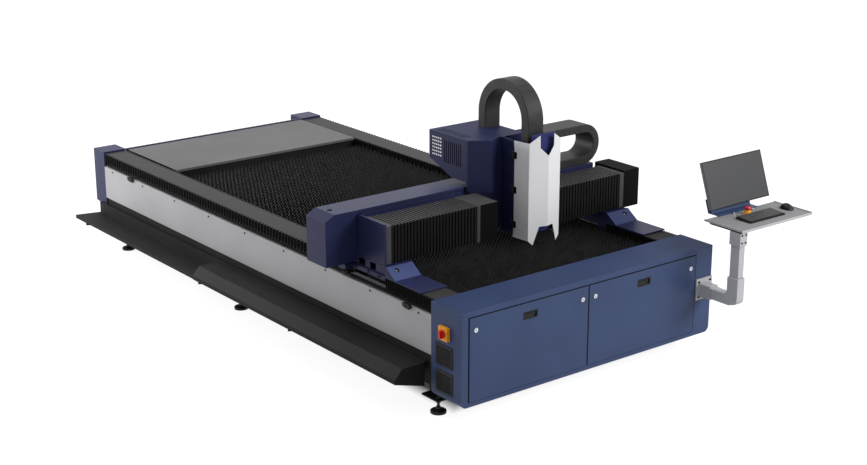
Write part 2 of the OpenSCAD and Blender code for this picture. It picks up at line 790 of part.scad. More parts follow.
module switch_knob() color(red) translate([0, switch_y, switch_z]) rotate([0, -90, 0]) {
    translate([0, 0, half_w + 22 + run_gap]) cylinder(d = switch_side * 0.62, h = 10);
    translate([-switch_side * 0.29, -7, half_w + 32 + run_gap - eps]) cube([switch_side * 0.58, 14, 14]);
    translate([0, 0, half_w - 20]) cylinder(d = 14, h = 42 + run_gap + eps);
}

// Mounting plate with drives and supplies inside the cabinet
gear_margin = 60;
module control_gear() color(steel) {
    x0 = -half_w + gear_margin;
    x1 = half_w - gear_margin;
    z0 = base_z + cabinet_r + 10;
    gear_y = cabinet_d - sheet - 22;
    block([x0, gear_y, z0], [x1, gear_y + 3, cabinet_top - 40]);
    for (x = [x0 + 10, x1 - 30], z = [z0 + 10, cabinet_top - 70])
        block([x, gear_y + 3, z], [x + 20, cabinet_d - sheet, z + 20]);
    units = 10;
    step = (x1 - x0 - 80) / units;
    for (i = [0 : units - 1])
        block([x0 + 40 + i * step + 12, gear_y - 120, z0 + 90], [x0 + 40 + (i + 1) * step - 12, gear_y,
               z0 + 90 + (i < 6 ? 250 : 180)]);
}

// Console on a bent arm at the cabinet's right end
module console_flange() color(silver) {
    fz = base_z + arm_z;
    difference() {
        block([flange_x - flange / 2, -wall_plate_t, fz - flange / 2],
              [flange_x + flange / 2, 0, fz + flange / 2]);
        for (i = [-1, 1], k = [-1, 1])
            along_y(-wall_plate_t - 1, 1)
                translate([flange_x + i * (flange / 2 - 20), fz + k * (flange / 2 - 20)])
                circle(d = 9);
    }
    block([post_x - socket_w / 2 - 4, -105, fz - 42],
          [post_x + socket_w / 2 + 4, -wall_plate_t + eps, fz + 42]);
}
module console_arm() color(silver) {
    fz = base_z + arm_z;
    y1 = post_yc + socket_d / 2;
    y0 = post_yc - socket_d / 2;
    along_x(post_x - socket_w / 2, post_x + socket_w / 2) polygon([
        [-105, fz + 34], [y1 + 14, fz + 34], [y1, fz + 48], [y1, arm_top - 40], [y0, arm_top - 40],
        [y0, fz + 4], [y0 + 12, fz - 16], [y1 - 20, fz - 34], [-105, fz - 34]
    ]);
    difference() {
        block([post_x - socket_w / 2, y0, arm_top - 40 - eps], [post_x + socket_w / 2, y1, arm_top]);
        block([post_x - arm_w / 2, post_yc - arm_d / 2, arm_top - 40],
              [post_x + arm_w / 2, post_yc + arm_d / 2, arm_top + 1]);
    }
}
module console_post() color(silver) difference() {
    block([post_x - arm_w / 2, post_yc - arm_d / 2, arm_top - 40], [post_x + arm_w / 2, post_yc + arm_d / 2,
           head_z0 + 40]);
    block([post_x - arm_w / 2 + 4, post_yc - arm_d / 2 + 4, arm_top - 41],
          [post_x + arm_w / 2 - 4, post_yc + arm_d / 2 - 4, head_z0 + 41]);
}
module console_head() color(silver) {
    difference() {
        block([post_x - socket_w / 2, post_yc - socket_d / 2, head_z0], [post_x + socket_w / 2,
               post_yc + socket_d / 2, carrier_z - run_gap]);
        block([post_x - arm_w / 2, post_yc - arm_d / 2, head_z0 - 1],
              [post_x + arm_w / 2, post_yc + arm_d / 2, head_z0 + 40]);
    }
    translate([post_x, post_yc, carrier_z - run_gap - eps]) cylinder(d = pivot_d, h = pivot_h);
}

// The tray is a shallow pan on a carrier with a swivel socket
module tray() color(silver) {
    z1 = tray_top - tray_t;
    block([tray_x0, tray_y0, z1], [tray_x0 + tray_w, tray_y1, tray_top]);
    block([tray_x0, tray_y0, tray_top - tray_rim], [tray_x0 + tray_w, tray_y0 + tray_t, tray_top + 2]);
    for (x = [tray_x0, tray_x0 + tray_w - tray_t])
        block([x, tray_y0, tray_top - tray_rim + 5], [x + tray_t, tray_y1, tray_top + 5]);
    difference() {
        block([tray_x0 + 2 * tray_t, tray_y0 + 12, carrier_z], [post_x + tray_w / 2, tray_y1 - 40, z1 + eps]);
        translate([post_x, post_yc, carrier_z - 1]) cylinder(d = pivot_d + 2 * run_gap, h = pivot_h + 1);
    }
}

// Monitor, leaning back on a folded blue bracket
monitor_x0 = tray_x0 + 82;
monitor_y = tray_y1 + 22;
monitor_z = tray_top + 38;
module leaning() translate([0, monitor_y, monitor_z]) rotate([-monitor_tilt, 0, 0]) children();
module monitor() color(charcoal) leaning() difference() {
    translate([monitor_x0, 0, 0]) union() {
        cube([monitor_w, monitor_t / 2, monitor_h]);
        translate([monitor_w * 0.12, monitor_t / 2 - eps, monitor_h * 0.12])
            cube([monitor_w * 0.76, monitor_t / 2, monitor_h * 0.76]);
    }
    translate([monitor_x0 + 8, -1, 12]) cube([monitor_w - 16, 2, monitor_h - 20]);
}
bracket_w = 355;
module monitor_bracket() color(navy) {
    x0 = monitor_x0 + 34;
    difference() {
        leaning() {
            translate([x0, monitor_t, -60]) cube([bracket_w, 4, monitor_h * 0.55 + 60]);
            for (x = [x0, x0 + bracket_w - 4]) translate([x, monitor_t, -60]) cube([4, 30, 130]);
        }
        block([x0 - 1, tray_y0, tray_top - 100], [x0 + bracket_w + 1, tray_y1 + 200, tray_top]);
    }
    block([x0, tray_y1 - 16, tray_top], [x0 + bracket_w, bracket_foot, tray_top + 4]);
}
bracket_foot = monitor_y + monitor_t / cos(monitor_tilt)
    - (monitor_z - tray_top) * tan(monitor_tilt) + 8;

mouse_w = 60;
keyboard_x = tray_x0 + 0.6 * (tray_w - keyboard_w - mouse_w);
keyboard_y = tray_y0 + 76;
module keyboard() color(black) translate([keyboard_x, keyboard_y, tray_top]) {
    along_x(0, keyboard_w) polygon([[0, 0], [keyboard_d, 0], [keyboard_d, 17], [0, 9]]);
    rows = 6;
    cols = 16;
    kx = (keyboard_w - 14) / cols;
    ky = (keyboard_d - 14) / rows;
    slope = atan(8 / keyboard_d);
    for (r = [0 : rows - 1])
        translate([7, 7 + r * ky, 9 + (7 + r * ky) * 8 / keyboard_d]) rotate([slope, 0, 0])
            for (c = [0 : cols - 1]) translate([c * kx + 1, 1, -1]) cube([kx - 2, ky - 2, 4]);
}
mouse_x = tray_x0 + tray_w - mouse_w / 2 - 32;
mouse_y = tray_y0 + 152;
module mouse() color(black) translate([mouse_x, mouse_y, tray_top]) intersection() {
    hull() {
        translate([0, 20, 0]) cylinder(d = mouse_w, h = 14, $fn = 32);
        translate([0, -22, 0]) cylinder(d = 0.9 * mouse_w, h = 12, $fn = 32);
        translate([0, 6, 14]) sphere(d = 0.73 * mouse_w, $fn = 24);
    }
    block([-mouse_w, -1.5 * mouse_w, 0], [mouse_w, 1.5 * mouse_w, mouse_w]);
}

// Emergency stop and push buttons on the tray
stop_at = [tray_x0 + 302, tray_y0 + 230];
button_at = [[tray_x0 + 234, tray_y0 + 275], [tray_x0 + 234, tray_y0 + 235], [tray_x0 + 397, tray_y0 + 272]];
stop_stem = 14;
module stop_base() color(yellow) translate([stop_at.x, stop_at.y, tray_top]) difference() {
    cylinder(d1 = 52, d2 = 36, h = 26);
    translate([0, 0, 6]) cylinder(d = stop_stem + 2 * run_gap, h = 21);
}
module stop_button() color(red) translate([stop_at.x, stop_at.y, tray_top]) rotate_extrude() polygon([
    [0, 12], [stop_stem / 2, 12], [stop_stem / 2, 32], [20, 32], [20, 40], [16, 46], [0, 47]
]);
module push_button(i) translate([button_at[i].x, button_at[i].y, tray_top]) rotate_extrude() polygon([
    [0, 4], [button_d / 2 - 3, 4], [button_d / 2 - 3, 10], [button_d / 2 - 4.5, 11], [0, 11]
]);
module button_rings() color(steel) for (at = button_at) translate([at.x, at.y, tray_top]) difference() {
    cylinder(d = button_d, h = 7);
    translate([0, 0, 1]) cylinder(r = button_d / 2 - 3 + run_gap, h = 7);
}
module button_1() color(steel) push_button(0);
module button_2() color(steel) push_button(1);
module button_3() color(steel) push_button(2);

// Gantry beam: a rectangular tube with two guide rails and a rack on its front
x_rail_z = [riser_top + 62, beam_top - 62];
module gantry_beam() color(charcoal) {
    difference() {
        block([-beam_x, gantry_y, riser_top], [beam_x, beam_y1, beam_top]);
        block([-beam_x - 1, gantry_y + tube_wall, riser_top + tube_wall],
              [beam_x + 1, beam_y1 - tube_wall, beam_top - tube_wall]);
    }
    for (z = x_rail_z)
        block([-beam_x + 6, gantry_y - x_rail_out, z - x_rail_w / 2],
              [beam_x - 6, gantry_y + eps, z + x_rail_w / 2]);
    block([-beam_x + 6, gantry_y - 20, riser_top + 100], [beam_x - 6, gantry_y + eps, riser_top + 124]);
}

// The sheet cover over the beam's left part
module beam_cover() color(navy) {
    along_x(-end_x - sheet, beam_cover_end) folded([
        [gantry_y - sheet / 2, box_top + 16], [gantry_y - sheet / 2, cover_top - sheet / 2],
        [foot_y1, cover_top - sheet / 2], [foot_y1, beam_top - 60]
    ], sheet);
    along_x(-seam_x, -end_x - sheet + eps) folded([
        [gantry_y - sheet / 2, foot_top + 20], [gantry_y - sheet / 2, cover_top - sheet / 2],
        [foot_y1, cover_top - sheet / 2], [foot_y1, foot_top + 20]
    ], sheet);
    for (x = [20 - beam_x, beam_cover_end - 60])
        block([x, gantry_y + 30, beam_top], [x + 20, beam_y1 - 30, cover_top - sheet + eps]);
}

// The deep cover over the left drive, bevelled along its outer top edge
end_outline = [
    [-cover_x, foot_top + 20], [-seam_x, foot_top + 20], [-seam_x, cover_top],
    [-cover_x + end_bevel, cover_top],
    [-cover_x, cover_top - 34]
];
module end_cover() color(navy) {
    y0 = gantry_y - sheet;
    y1 = foot_y1 + sheet / 2;
    difference() {
        along_y(y0, y1) polygon(end_outline);
        along_y(y0 + sheet, y1 - sheet) polygon([
            [-cover_x + sheet, foot_top + 10], [-seam_x + 1, foot_top + 10], [-seam_x + 1, cover_top - sheet],
            [-cover_x + end_bevel + 1, cover_top - sheet], [-cover_x + sheet, cover_top - 36]
        ]);
        translate([-seam_x - 0.4 * (end_cover_w - end_bevel), (y0 + y1) / 2, cover_top - 10])
            cylinder(d = cover_hole_d, h = 20);
    }
}

// Gantry foot: base plate on two guide blocks, hollow riser, sloped front plate and apron over the bellows
module foot_block(y) difference() {
    block([rail_x - block_w / 2, y, bed_top + 6], [rail_x + block_w / 2, y + block_l, foot_z + eps]);
    block([rail_x - rail_w / 2 - run_gap, y - 1, bed_top], [rail_x + rail_w / 2 + run_gap, y + block_l + 1,
           bed_top + rail_h + run_gap]);
}
module gantry_foot() {
    x0 = rail_x - foot_half;
    x1 = rail_x + foot_half;
    difference() {
        union() {
            block([x0, riser_y, foot_z], [x1, foot_y1, foot_top]);
            block([x1 - eps, motor_y - 66, foot_z], [motor_x + motor_d / 2 + 8, motor_y + 66, foot_top]);
        }
        translate([motor_x, motor_y, foot_z - 1]) cylinder(d = 24, h = foot_t + 2);
    }
    difference() {
        block([x0, riser_y, foot_top - eps], [end_x, foot_y1, riser_top]);
        block([x0 + tube_wall, riser_y + tube_wall, foot_top - 1],
              [end_x - tube_wall, foot_y1 - tube_wall, riser_top - tube_wall]);
        translate([motor_x, motor_y, foot_top - 1]) cylinder(d = motor_d + 8, h = riser_h + 2);
        block([end_x - tube_wall - 1, box_y + 92, foot_top + 6], [end_x + 1, box_y + 151, riser_top - 12]);
        block([end_x - tube_wall - 1, box_y + 200, foot_top + 6], [end_x + 1, gantry_y - 6, riser_top - 12]);
    }
    foot_block(riser_y + 20);
    foot_block(foot_y1 - block_l - 12);
    difference() {
        along_x(x0, x1) polygon([
            [apron_y, foot_top - apron_t], [riser_y + eps, foot_top - apron_t], [riser_y + eps, riser_top],
            [riser_y - slope_land, riser_top], [slope_y, foot_top], [apron_y, foot_top]
        ]);
        translate([rail_x + 0.4 * foot_half, eye_y, eye_z]) rotate([slope, 0, 0])
            translate([0, 0, -eye_depth]) cylinder(d = eye_d, h = 2 * eye_depth);
    }
}
module gantry_feet() color(navy) for (s = [-1, 1]) on_side(s) gantry_foot();

// Plates that close the bellows box, and the black cap on its right end
module end_plates() color(navy) for (s = [-1, 1]) on_side(s)
    block([end_x - end_plate_t, box_y, riser_top], [end_x, gantry_y, beam_top + 1]);
module end_cap() color(black) difference() {
    block([end_x, box_y, riser_top], [end_x + cap_w, gantry_y + 11, beam_top]);
    block([end_x - 1, box_y + cap_wall, riser_top + cap_wall],
          [end_x + cap_w - cap_wall, gantry_y + 11 - cap_wall, beam_top - cap_wall]);
}

// Servo motors with gearboxes that drive the gantry's pinions on the racks
module y_drives() color(black) for (s = [-1, 1]) on_side(s) translate([motor_x, motor_y, foot_top]) {
    cylinder(d = motor_d, h = 60);
    translate([-motor_d / 2 + 4, -motor_d / 2 + 4, 60 - eps]) cube([motor_d - 8, motor_d - 8, motor_h - 60]);
    translate([0, 0, -foot_t - 52]) cylinder(d = 20, h = foot_t + 53);
    translate([0, 0, -foot_t - 52]) cylinder(r = pinion_r, h = 18);
}

// Bellows over the beam's front rails: open towards the beam, flanged at both ends
function channel_outline(d) = [
    [saddle_y1, box_top - d], [box_y + d, box_top - d], [box_y + d, box_z0 + d], [saddle_y1, box_z0 + d],
    [saddle_y1, box_z0 + d + bellows_wall], [box_y + d + bellows_wall, box_z0 + d + bellows_wall],
    [box_y + d + bellows_wall, box_top - d - bellows_wall], [saddle_y1, box_top - d - bellows_wall]
];
module box_bellows(x0, x1, flange_0, flange_1) {
    length = x1 - x0 - flange_0 - flange_1;
    pleats = max(4, round(length / box_pitch));
    translate([x0 + flange_0, 0, 0]) mirror([1, 0, 0]) rotate([0, 0, 90])
        bellows(length, pleats, channel_outline(2), channel_outline(box_pleat));
    if (flange_0 > 0) along_x(x0, x0 + flange_0 + eps) polygon(channel_outline(0));
    if (flange_1 > 0) along_x(x1 - flange_1 - eps, x1) polygon(channel_outline(0));
}
module box_bellows_left() color(black) box_bellows(-end_x + end_plate_t, frame_x0, flange_t, frame_flange_t);
module box_bellows_right() color(black) box_bellows(frame_x3, end_x - end_plate_t, 0, flange_t);

// Plan of the housing behind the head, against the clock
housing_plan = [
    [housing_x0, housing_y1], [housing_x0, gantry_y - 24], [housing_x0 + housing_bevel, saddle_y0 - 48],
    [shell_x0 - 26, saddle_y0], [shell_x1, saddle_y0], [shell_x1, gantry_y - 39],
    [housing_x1, x_chain_y - 2], [housing_x1, housing_y1]
];
skirt_z = box_top + 4;
module housing_form(plan, t) difference() {
    translate([0, 0, skirt_z + (t > 0 ? -1 : 0)]) linear_extrude(housing_top - t - skirt_z + (t > 0 ? 1 : 0))
        polygon(plan);
    block([housing_x0 - 1, gantry_y - 8 - t, skirt_z - 2], [shell_x1 + 1, housing_y1 + 1, housing_z0 + t]);
    along_x(housing_x0 - 1, shell_x1 + 1) polygon([
        [gantry_y + 136, housing_z0 - 1 + t], [housing_y1 + 1, housing_z0 - 1],
        [housing_y1 + 1, housing_z0 + 88 + t]
    ]);
}
module housing() color(navy) difference() {
    housing_form(housing_plan, 0);
    housing_form(inset(housing_plan, sheet), sheet);
    for (i = [0 : vent_cols - 1], k = [0 : vent_rows - 1])
        along_x(housing_x0 - 1, housing_x1 + 1)
            translate([housing_y1 - 36 - i * 20, housing_top - 40 - k * 22]) circle(d = 13);
    for (i = [0 : 8])
        block([housing_x0 - 1, housing_y1 - 160 - i * 20, housing_top - slot_foot],
              [housing_x0 + sheet + 1, housing_y1 - 152 - i * 20, housing_top - slot_head]);
    for (i = [0 : 4])
        block([housing_x0 + 24 + i * 14, gantry_y + 40, housing_top - sheet - 1],
              [housing_x0 + 29 + i * 14, housing_y1 - 40, housing_top + 1]);
}

// The saddle runs on the beam's rails and carries the head's shell, the housing and the bellows' frames
module saddle() color(navy) {
    difference() {
        union() {
            block([frame_x1, saddle_y0, riser_top - 10], [frame_x2, saddle_y1, skirt_z - 2]);
            block([shell_x0, saddle_y0 + sheet, skirt_z - 2 - eps],
                  [housing_x1 - 20, saddle_y1, housing_z0 + saddle_rise]);
            for (x = [frame_x1, head_x + 20], z = x_rail_z)
                block([x, saddle_y1 - eps, z - 34], [x + saddle_block_l, gantry_y - 6, z + 34]);
        }
        for (z = x_rail_z)
            block([frame_x1 - 40, gantry_y - x_rail_out - run_gap, z - x_rail_w / 2 - run_gap],
                  [frame_x2 + 40, gantry_y, z + x_rail_w / 2 + run_gap]);
    }
}

// Sheet frames that the bellows end on: a deep one to the left of the head, a narrow one to its right
module bellows_frames() color(black) for (e = [[frame_x0, frame_x1], [frame_x2, frame_x3]])
    along_x(e[0], e[1]) polygon(channel_outline(0));

// The head's shell: a channel open to the front, with two upright rails and hinge leaves for the shroud
module head_shell() color(navy) {
    difference() {
        block([shell_x0, shell_y0, shell_z0], [shell_x1, saddle_y0, housing_top]);
        block([shell_x0 + shell_wall, shell_y0 - 1, shell_z0 - 1],
              [shell_x1 - shell_wall, saddle_y0 - shell_wall, housing_top + 1]);
    }
    for (k = [-1, 1])
        block([head_x + k * z_rail_x - z_rail_w / 2, z_rail_y, shell_z0 + 30],
              [head_x + k * z_rail_x + z_rail_w / 2, saddle_y0 - shell_wall + eps, slide_top + 20]);
    for (z = hinge_rows)
        block([hinge_x - 3, hinge_y + hinge_d / 2 + run_gap, z], [shell_x0 + eps, hinge_y + 32, z + hinge_l]);
}

// White shroud: a folded sheet with a prow, cut to points above and below, on hinges at its left edge
shroud_half = shell_w / 2 + 4;
module head_shroud() color(white) {
    half = shroud_half - shroud_in;
    intersection() {
        translate([head_x, 0, shroud_z0 - fang_h]) linear_extrude(shroud_h + fang_h + horn_h) folded([
            [-shroud_half, shell_y0], [-half, shroud_y], [0, shroud_y - prow_d], [half, shroud_y],
            [shroud_half, shell_y0]
        ], sheet);
        along_y(shroud_y - prow_d - 10, shell_y0 + 10) translate([head_x, 0]) polygon([
            [-shroud_half - 9, shroud_z0 + 6], [-half, shroud_z0], [-half + 30, shroud_z0 - fang_h],
            [-slot_w / 2, shroud_z0 + 88], [slot_w / 2, shroud_z0 + 88], [half - 30, shroud_z0 - fang_h],
            [half, shroud_z0], [shroud_half + 9, shroud_z0 + 6], [shroud_half + 9, shroud_z1],
            [half, shroud_z1], [slot_w / 2 + 2, shroud_z1 + horn_h], [slot_w / 2, shroud_z1 - 33],
            [0, shroud_z1 - 87], [-slot_w / 2, shroud_z1 - 33], [-slot_w / 2 - 2, shroud_z1 + horn_h],
            [-half, shroud_z1], [-shroud_half - 9, shroud_z1]
        ]);
    }
    for (z = hinge_rows) translate([hinge_x, hinge_y, z]) cylinder(d = hinge_d, h = hinge_l);
}
hinge_x = head_x - shroud_half - hinge_d / 2 + 1;
hinge_y = shell_y0 - 2;
hinge_margin = 70;
hinge_rows = [
    shroud_z0 + hinge_margin, (shroud_z0 + shroud_z1 - hinge_l) / 2, shroud_z1 - hinge_margin - hinge_l
];

// Z slide: back plate on guide blocks, a shelf and front plate, and the clamp round the cutting head
module z_slide() color(navy) {
    block([head_x - slide_half, slide_y, nozzle_z + slide_foot],
          [head_x + slide_half, slide_y + slide_t, slide_top]);
    for (k = [-1, 1], z = [nozzle_z + slide_foot + 10, slide_top - guide_h - 40]) difference() {
        block([head_x + k * z_rail_x - 24, slide_y + slide_t - eps, z],
              [head_x + k * z_rail_x + 24, saddle_y0 - shell_wall - 5, z + guide_h]);
        block([head_x + k * z_rail_x - z_rail_w / 2 - run_gap, z_rail_y - run_gap, z - 1],
              [head_x + k * z_rail_x + z_rail_w / 2 + run_gap, saddle_y0, z + guide_h + 1]);
    }
    block([head_x - slide_half + 5, plate_y, slide_top - slide_t],
          [head_x + slide_half - 5, slide_y + eps, slide_top]);
    block([head_x - plate_half, plate_y, nozzle_z - plate_drop],
          [head_x + plate_half, plate_y + plate_t, shroud_z1 + horn_h - 1]);
    difference() {
        block([head_x - barrel_d / 2 - clamp_wall, head_y - barrel_d / 2 - clamp_wall, nozzle_z + clamp_z],
              [head_x + barrel_d / 2 + clamp_wall, slide_y + eps, nozzle_z + clamp_z + clamp_h]);
        translate([head_x, head_y, nozzle_z + clamp_z - 1])
            cylinder(d = barrel_d + 2 * run_gap, h = clamp_h + 2);
    }
}

// The cutting head, turned: nozzle, ceramic ring, cone, lens barrel and fibre socket
module cutting_head() color(steel) translate([head_x, head_y, nozzle_z]) rotate_extrude() polygon([
    [0, 0], [nozzle_d / 2, 0], [nozzle_d / 2 + 4, nozzle_h], [ring_r, nozzle_h + 2], [ring_r, ring_top],
    [neck_r, cone_top], [neck_r, neck_top], [barrel_d / 2, neck_top + 10], [barrel_d / 2, barrel_top],
    [socket_r, barrel_top + 20], [socket_r, head_l], [0, head_l]
]);
nozzle_h = 14;
ring_r = 16;
ring_top = 34;
cone_top = 60;
neck_top = 110;
neck_r = barrel_d / 2 - 8;
barrel_top = 380;
socket_r = barrel_d / 2 - 14;
head_l = 470;
plate_y = shroud_y + 12;
plate_t = 6;
plate_half = slide_half - 10;
plate_drop = 6;

// The drag chain that bends over from the housing down to the head
module z_chain() color(charcoal) translate([chain_head_x - z_chain_w / 2, 0, 0]) {
    yc = chain_y0 + z_chain_t / 2 + z_chain_r;
    translate([0, yc, chain_z]) rotate([90, 0, 90]) rotate_extrude(angle = 180)
        translate([z_chain_r - z_chain_t / 2, 0]) square([z_chain_t, z_chain_w]);
    block([0, yc + z_chain_r - z_chain_t / 2, housing_top],
          [z_chain_w, yc + z_chain_r + z_chain_t / 2, chain_z + eps]);
    block([0, yc - z_chain_r - z_chain_t / 2, slide_top],
          [z_chain_w, yc - z_chain_r + z_chain_t / 2, chain_z + eps]);
}

// The drag chain along the beam: it lies on the beam, bends over and comes back to the housing
module x_chain() color(charcoal) {
    y0 = x_chain_y;
    y1 = beam_y1 - 4;
    translate([chain_x, y1, beam_top + x_chain_r]) rotate([90, 0, 0]) rotate(-90) rotate_extrude(angle = 180)
        translate([x_chain_r - x_chain_t, 0]) square([x_chain_t, y1 - y0]);
    block([beam_cover_end + 20, y0, beam_top], [chain_x + eps, y1, beam_top + x_chain_t]);
    block([housing_x1, y0, beam_top + 2 * x_chain_r - x_chain_t],
          [chain_x + eps, y1, beam_top + 2 * x_chain_r]);
}

place() bed_frame();
place() bed_legs();
place() levelling_feet();
place() side_panels();
place() side_shelves();
place() shelf_covers();
place() rear_posts();
place() rear_panel();
place() rear_deck();
place() slat_ledges();
place() slats();
place() y_guides();
place() rail_bellows();
place() front_bellows();
place() cabinet_shell();
place() control_gear();
place() vent_grilles();
place() switch_plate();
place() switch_knob();
place() door_left();
place() door_right();
place() lock_1();
place() lock_2();
place() lock_3();
place() lock_4();
place() paddle_left();
place() paddle_right();
place() console_flange();
place() console_arm();
place() console_post();
place() console_head();
place() tray();
place() monitor_bracket();
place() monitor();
place() keyboard();
place() mouse();
place() stop_base();
place() stop_button();
place() button_rings();
place() button_1();
place() button_2();
place() button_3();
place() gantry_beam();
place() beam_cover();
place() end_cover();
place() gantry_feet();
place() end_plates();
place() end_cap();
place() y_drives();
place() box_bellows_left();
place() box_bellows_right();
place() saddle();
place() bellows_frames();
place() housing();
place() head_shell();
place() x_chain();
place() z_chain();
place() head_shroud();
place() z_slide();
place() cutting_head();
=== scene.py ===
import json
import math

import bpy
import numpy as np
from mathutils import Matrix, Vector


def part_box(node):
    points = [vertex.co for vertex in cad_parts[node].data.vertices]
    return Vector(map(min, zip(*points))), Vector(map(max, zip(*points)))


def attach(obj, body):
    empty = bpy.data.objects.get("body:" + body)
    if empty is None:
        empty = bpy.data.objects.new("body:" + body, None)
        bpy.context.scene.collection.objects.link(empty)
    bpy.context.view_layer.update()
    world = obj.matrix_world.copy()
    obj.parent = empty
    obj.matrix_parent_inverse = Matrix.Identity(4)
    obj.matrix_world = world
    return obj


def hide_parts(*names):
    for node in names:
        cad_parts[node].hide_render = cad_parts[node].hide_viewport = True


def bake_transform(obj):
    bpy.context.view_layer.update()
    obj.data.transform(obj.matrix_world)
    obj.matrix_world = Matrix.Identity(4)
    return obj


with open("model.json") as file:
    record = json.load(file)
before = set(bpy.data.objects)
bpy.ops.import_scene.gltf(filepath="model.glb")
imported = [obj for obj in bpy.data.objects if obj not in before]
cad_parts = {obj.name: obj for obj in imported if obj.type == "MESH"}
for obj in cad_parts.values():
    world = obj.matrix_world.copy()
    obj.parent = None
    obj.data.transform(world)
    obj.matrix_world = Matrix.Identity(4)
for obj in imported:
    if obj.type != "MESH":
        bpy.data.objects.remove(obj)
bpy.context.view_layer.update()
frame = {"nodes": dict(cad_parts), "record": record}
NODES = frame["nodes"]
MM = 0.001
LEFT, RIGHT = Vector((-1, 0, 0)), Vector((1, 0, 0))
FRONT, BACK = Vector((0, -1, 0)), Vector((0, 1, 0))
UP = Vector((0, 0, 1))


# Colour and shader nodes

def linear(colour):
    """An sRGB hex colour as linear red, green, blue and alpha."""
    parts = [int(colour[i:i + 2], 16) / 255 for i in (1, 3, 5)]
    return tuple(c / 12.92 if c <= 0.04045 else ((c + 0.055) / 1.055) ** 2.4 for c in parts) + (1.0,)


def add(tree, kind, inputs=None, **settings):
    """Adds a shader node. An input is a value, or another node's output socket that is linked to it."""
    made = tree.nodes.new("ShaderNode" + kind)
    for name, value in settings.items():
        setattr(made, name, value)
    for name, value in (inputs or {}).items():
        if isinstance(value, bpy.types.NodeSocket):
            tree.links.new(value, made.inputs[name])
        else:
            made.inputs[name].default_value = value
    return made


def blank_material(name):
    """A material with no nodes, its tree and the object's own coordinates in metres."""
    material = bpy.data.materials.new(name)
    material.use_nodes = True
    tree = material.node_tree
    tree.nodes.clear()
    return material, tree, add(tree, "TexCoord").outputs["Object"]


def surface(tree, shade, gloss, relief, settings):
    """Closes a material. The colour runs between two hex colours, the roughness between two values and the
    relief up to a depth in millimetres, each along the pattern that stands first in its row."""
    pattern, dark, light = shade
    colour = add(tree, "ValToRGB", {"Fac": pattern})
    for stop, place, tone in zip(colour.color_ramp.elements, (0.3, 0.7), (dark, light)):
        stop.position = place
        stop.color = linear(tone)
    pattern, smoothest, roughest = gloss
    roughness = add(tree, "MapRange", {"Value": pattern, "To Min": smoothest, "To Max": roughest})
    pattern, depth_mm, strength = relief
    bump = add(tree, "Bump", {"Height": pattern, "Distance": depth_mm * MM, "Strength": strength})
    shader = add(tree, "BsdfPrincipled", {
        "Base Color": colour.outputs["Color"], "Roughness": roughness.outputs["Result"],
        "Normal": bump.outputs["Normal"], **settings,
    })
    add(tree, "OutputMaterial", {"Surface": shader.outputs["BSDF"]})


# Materials

def painted_steel(name, dark, light, roughness, peel_mm, peel_depth_mm, shine=0.15, metal=0.0):
    """Sheet steel with baked powder paint: satin, with orange peel and a slow drift of shade over a sheet.
    Real peel is 2 to 3 mm wide and is drawn wider to show. Paint with metal flakes has some metal."""
    material, tree, place = blank_material(name)
    drift = add(tree, "TexNoise", {"Vector": place, "Scale": 1 / (420 * MM), "Detail": 3.0}).outputs["Fac"]
    peel = add(tree, "TexNoise", {"Vector": place, "Scale": 1 / (peel_mm * MM), "Detail": 2.0}).outputs["Fac"]
    gloss = (peel, roughness - 0.06, roughness + 0.06)
    surface(tree, (drift, dark, light), gloss, (peel, peel_depth_mm, 0.6),
            {"Specular IOR Level": shine, "Metallic": metal})
    return material


def coated_cloth(name, dark, light, thread_mm=3.0, shine=0.08):
    """Polyester cloth with a PVC coat, hot-pressed into pleats: dull, with the weave just showing through.
    Real threads are 0.5 mm apart; they are drawn wider so that they show."""
    material, tree, place = blank_material(name)
    sides = add(tree, "SeparateXYZ", {"Vector": place})
    waves = []
    for axis in "XYZ":
        turn = 2 * math.pi / (thread_mm * MM)
        angle = add(tree, "Math", {0: sides.outputs[axis], 1: turn}, operation="MULTIPLY")
        waves.append(add(tree, "Math", {0: angle.outputs[0]}, operation="SINE").outputs[0])
    across = add(tree, "Math", {0: waves[0], 1: waves[1]}, operation="MULTIPLY").outputs[0]
    weave = add(tree, "Math", {0: across, 1: waves[2]}, operation="ADD").outputs[0]
    scuff = add(tree, "TexNoise", {"Vector": place, "Scale": 1 / (90 * MM), "Detail": 4.0}).outputs["Fac"]
    surface(tree, (scuff, dark, light), (scuff, 0.5, 0.68), (weave, 0.15, 0.4),
            {"Specular IOR Level": shine, "Sheen Weight": 0.05})
    return material


def scaled_steel(name, dark, light):
    """Hot-rolled steel strip with its mill scale, laser-cut to teeth: near black with paler patches."""
    material, tree, place = blank_material(name)
    patch = add(tree, "TexNoise", {"Vector": place, "Scale": 1 / (60 * MM), "Detail": 5.0}).outputs["Fac"]
    grain = add(tree, "TexNoise", {"Vector": place, "Scale": 1 / (6 * MM), "Detail": 2.0}).outputs["Fac"]
    surface(tree, (patch, dark, light), (patch, 0.42, 0.62), (grain, 0.4, 0.5),
            {"Metallic": 0.1, "Specular IOR Level": 0.15})
    return material


def ground_steel(name, dark, light):
    """Steel ground to size: fine lines along the piece, drawn 2 mm apart so that they show."""
    material, tree, place = blank_material(name)
    fine, long = 1 / (2 * MM), 1 / (80 * MM)
    squeezed = add(tree, "Mapping", {"Vector": place, "Scale": (fine, long, fine)}).outputs["Vector"]
    lines = add(tree, "TexNoise", {"Vector": squeezed, "Scale": 1.0, "Detail": 3.0}).outputs["Fac"]
    surface(tree, (lines, dark, light), (lines, 0.24, 0.4), (lines, 0.1, 0.4), {"Metallic": 1.0})
    return material


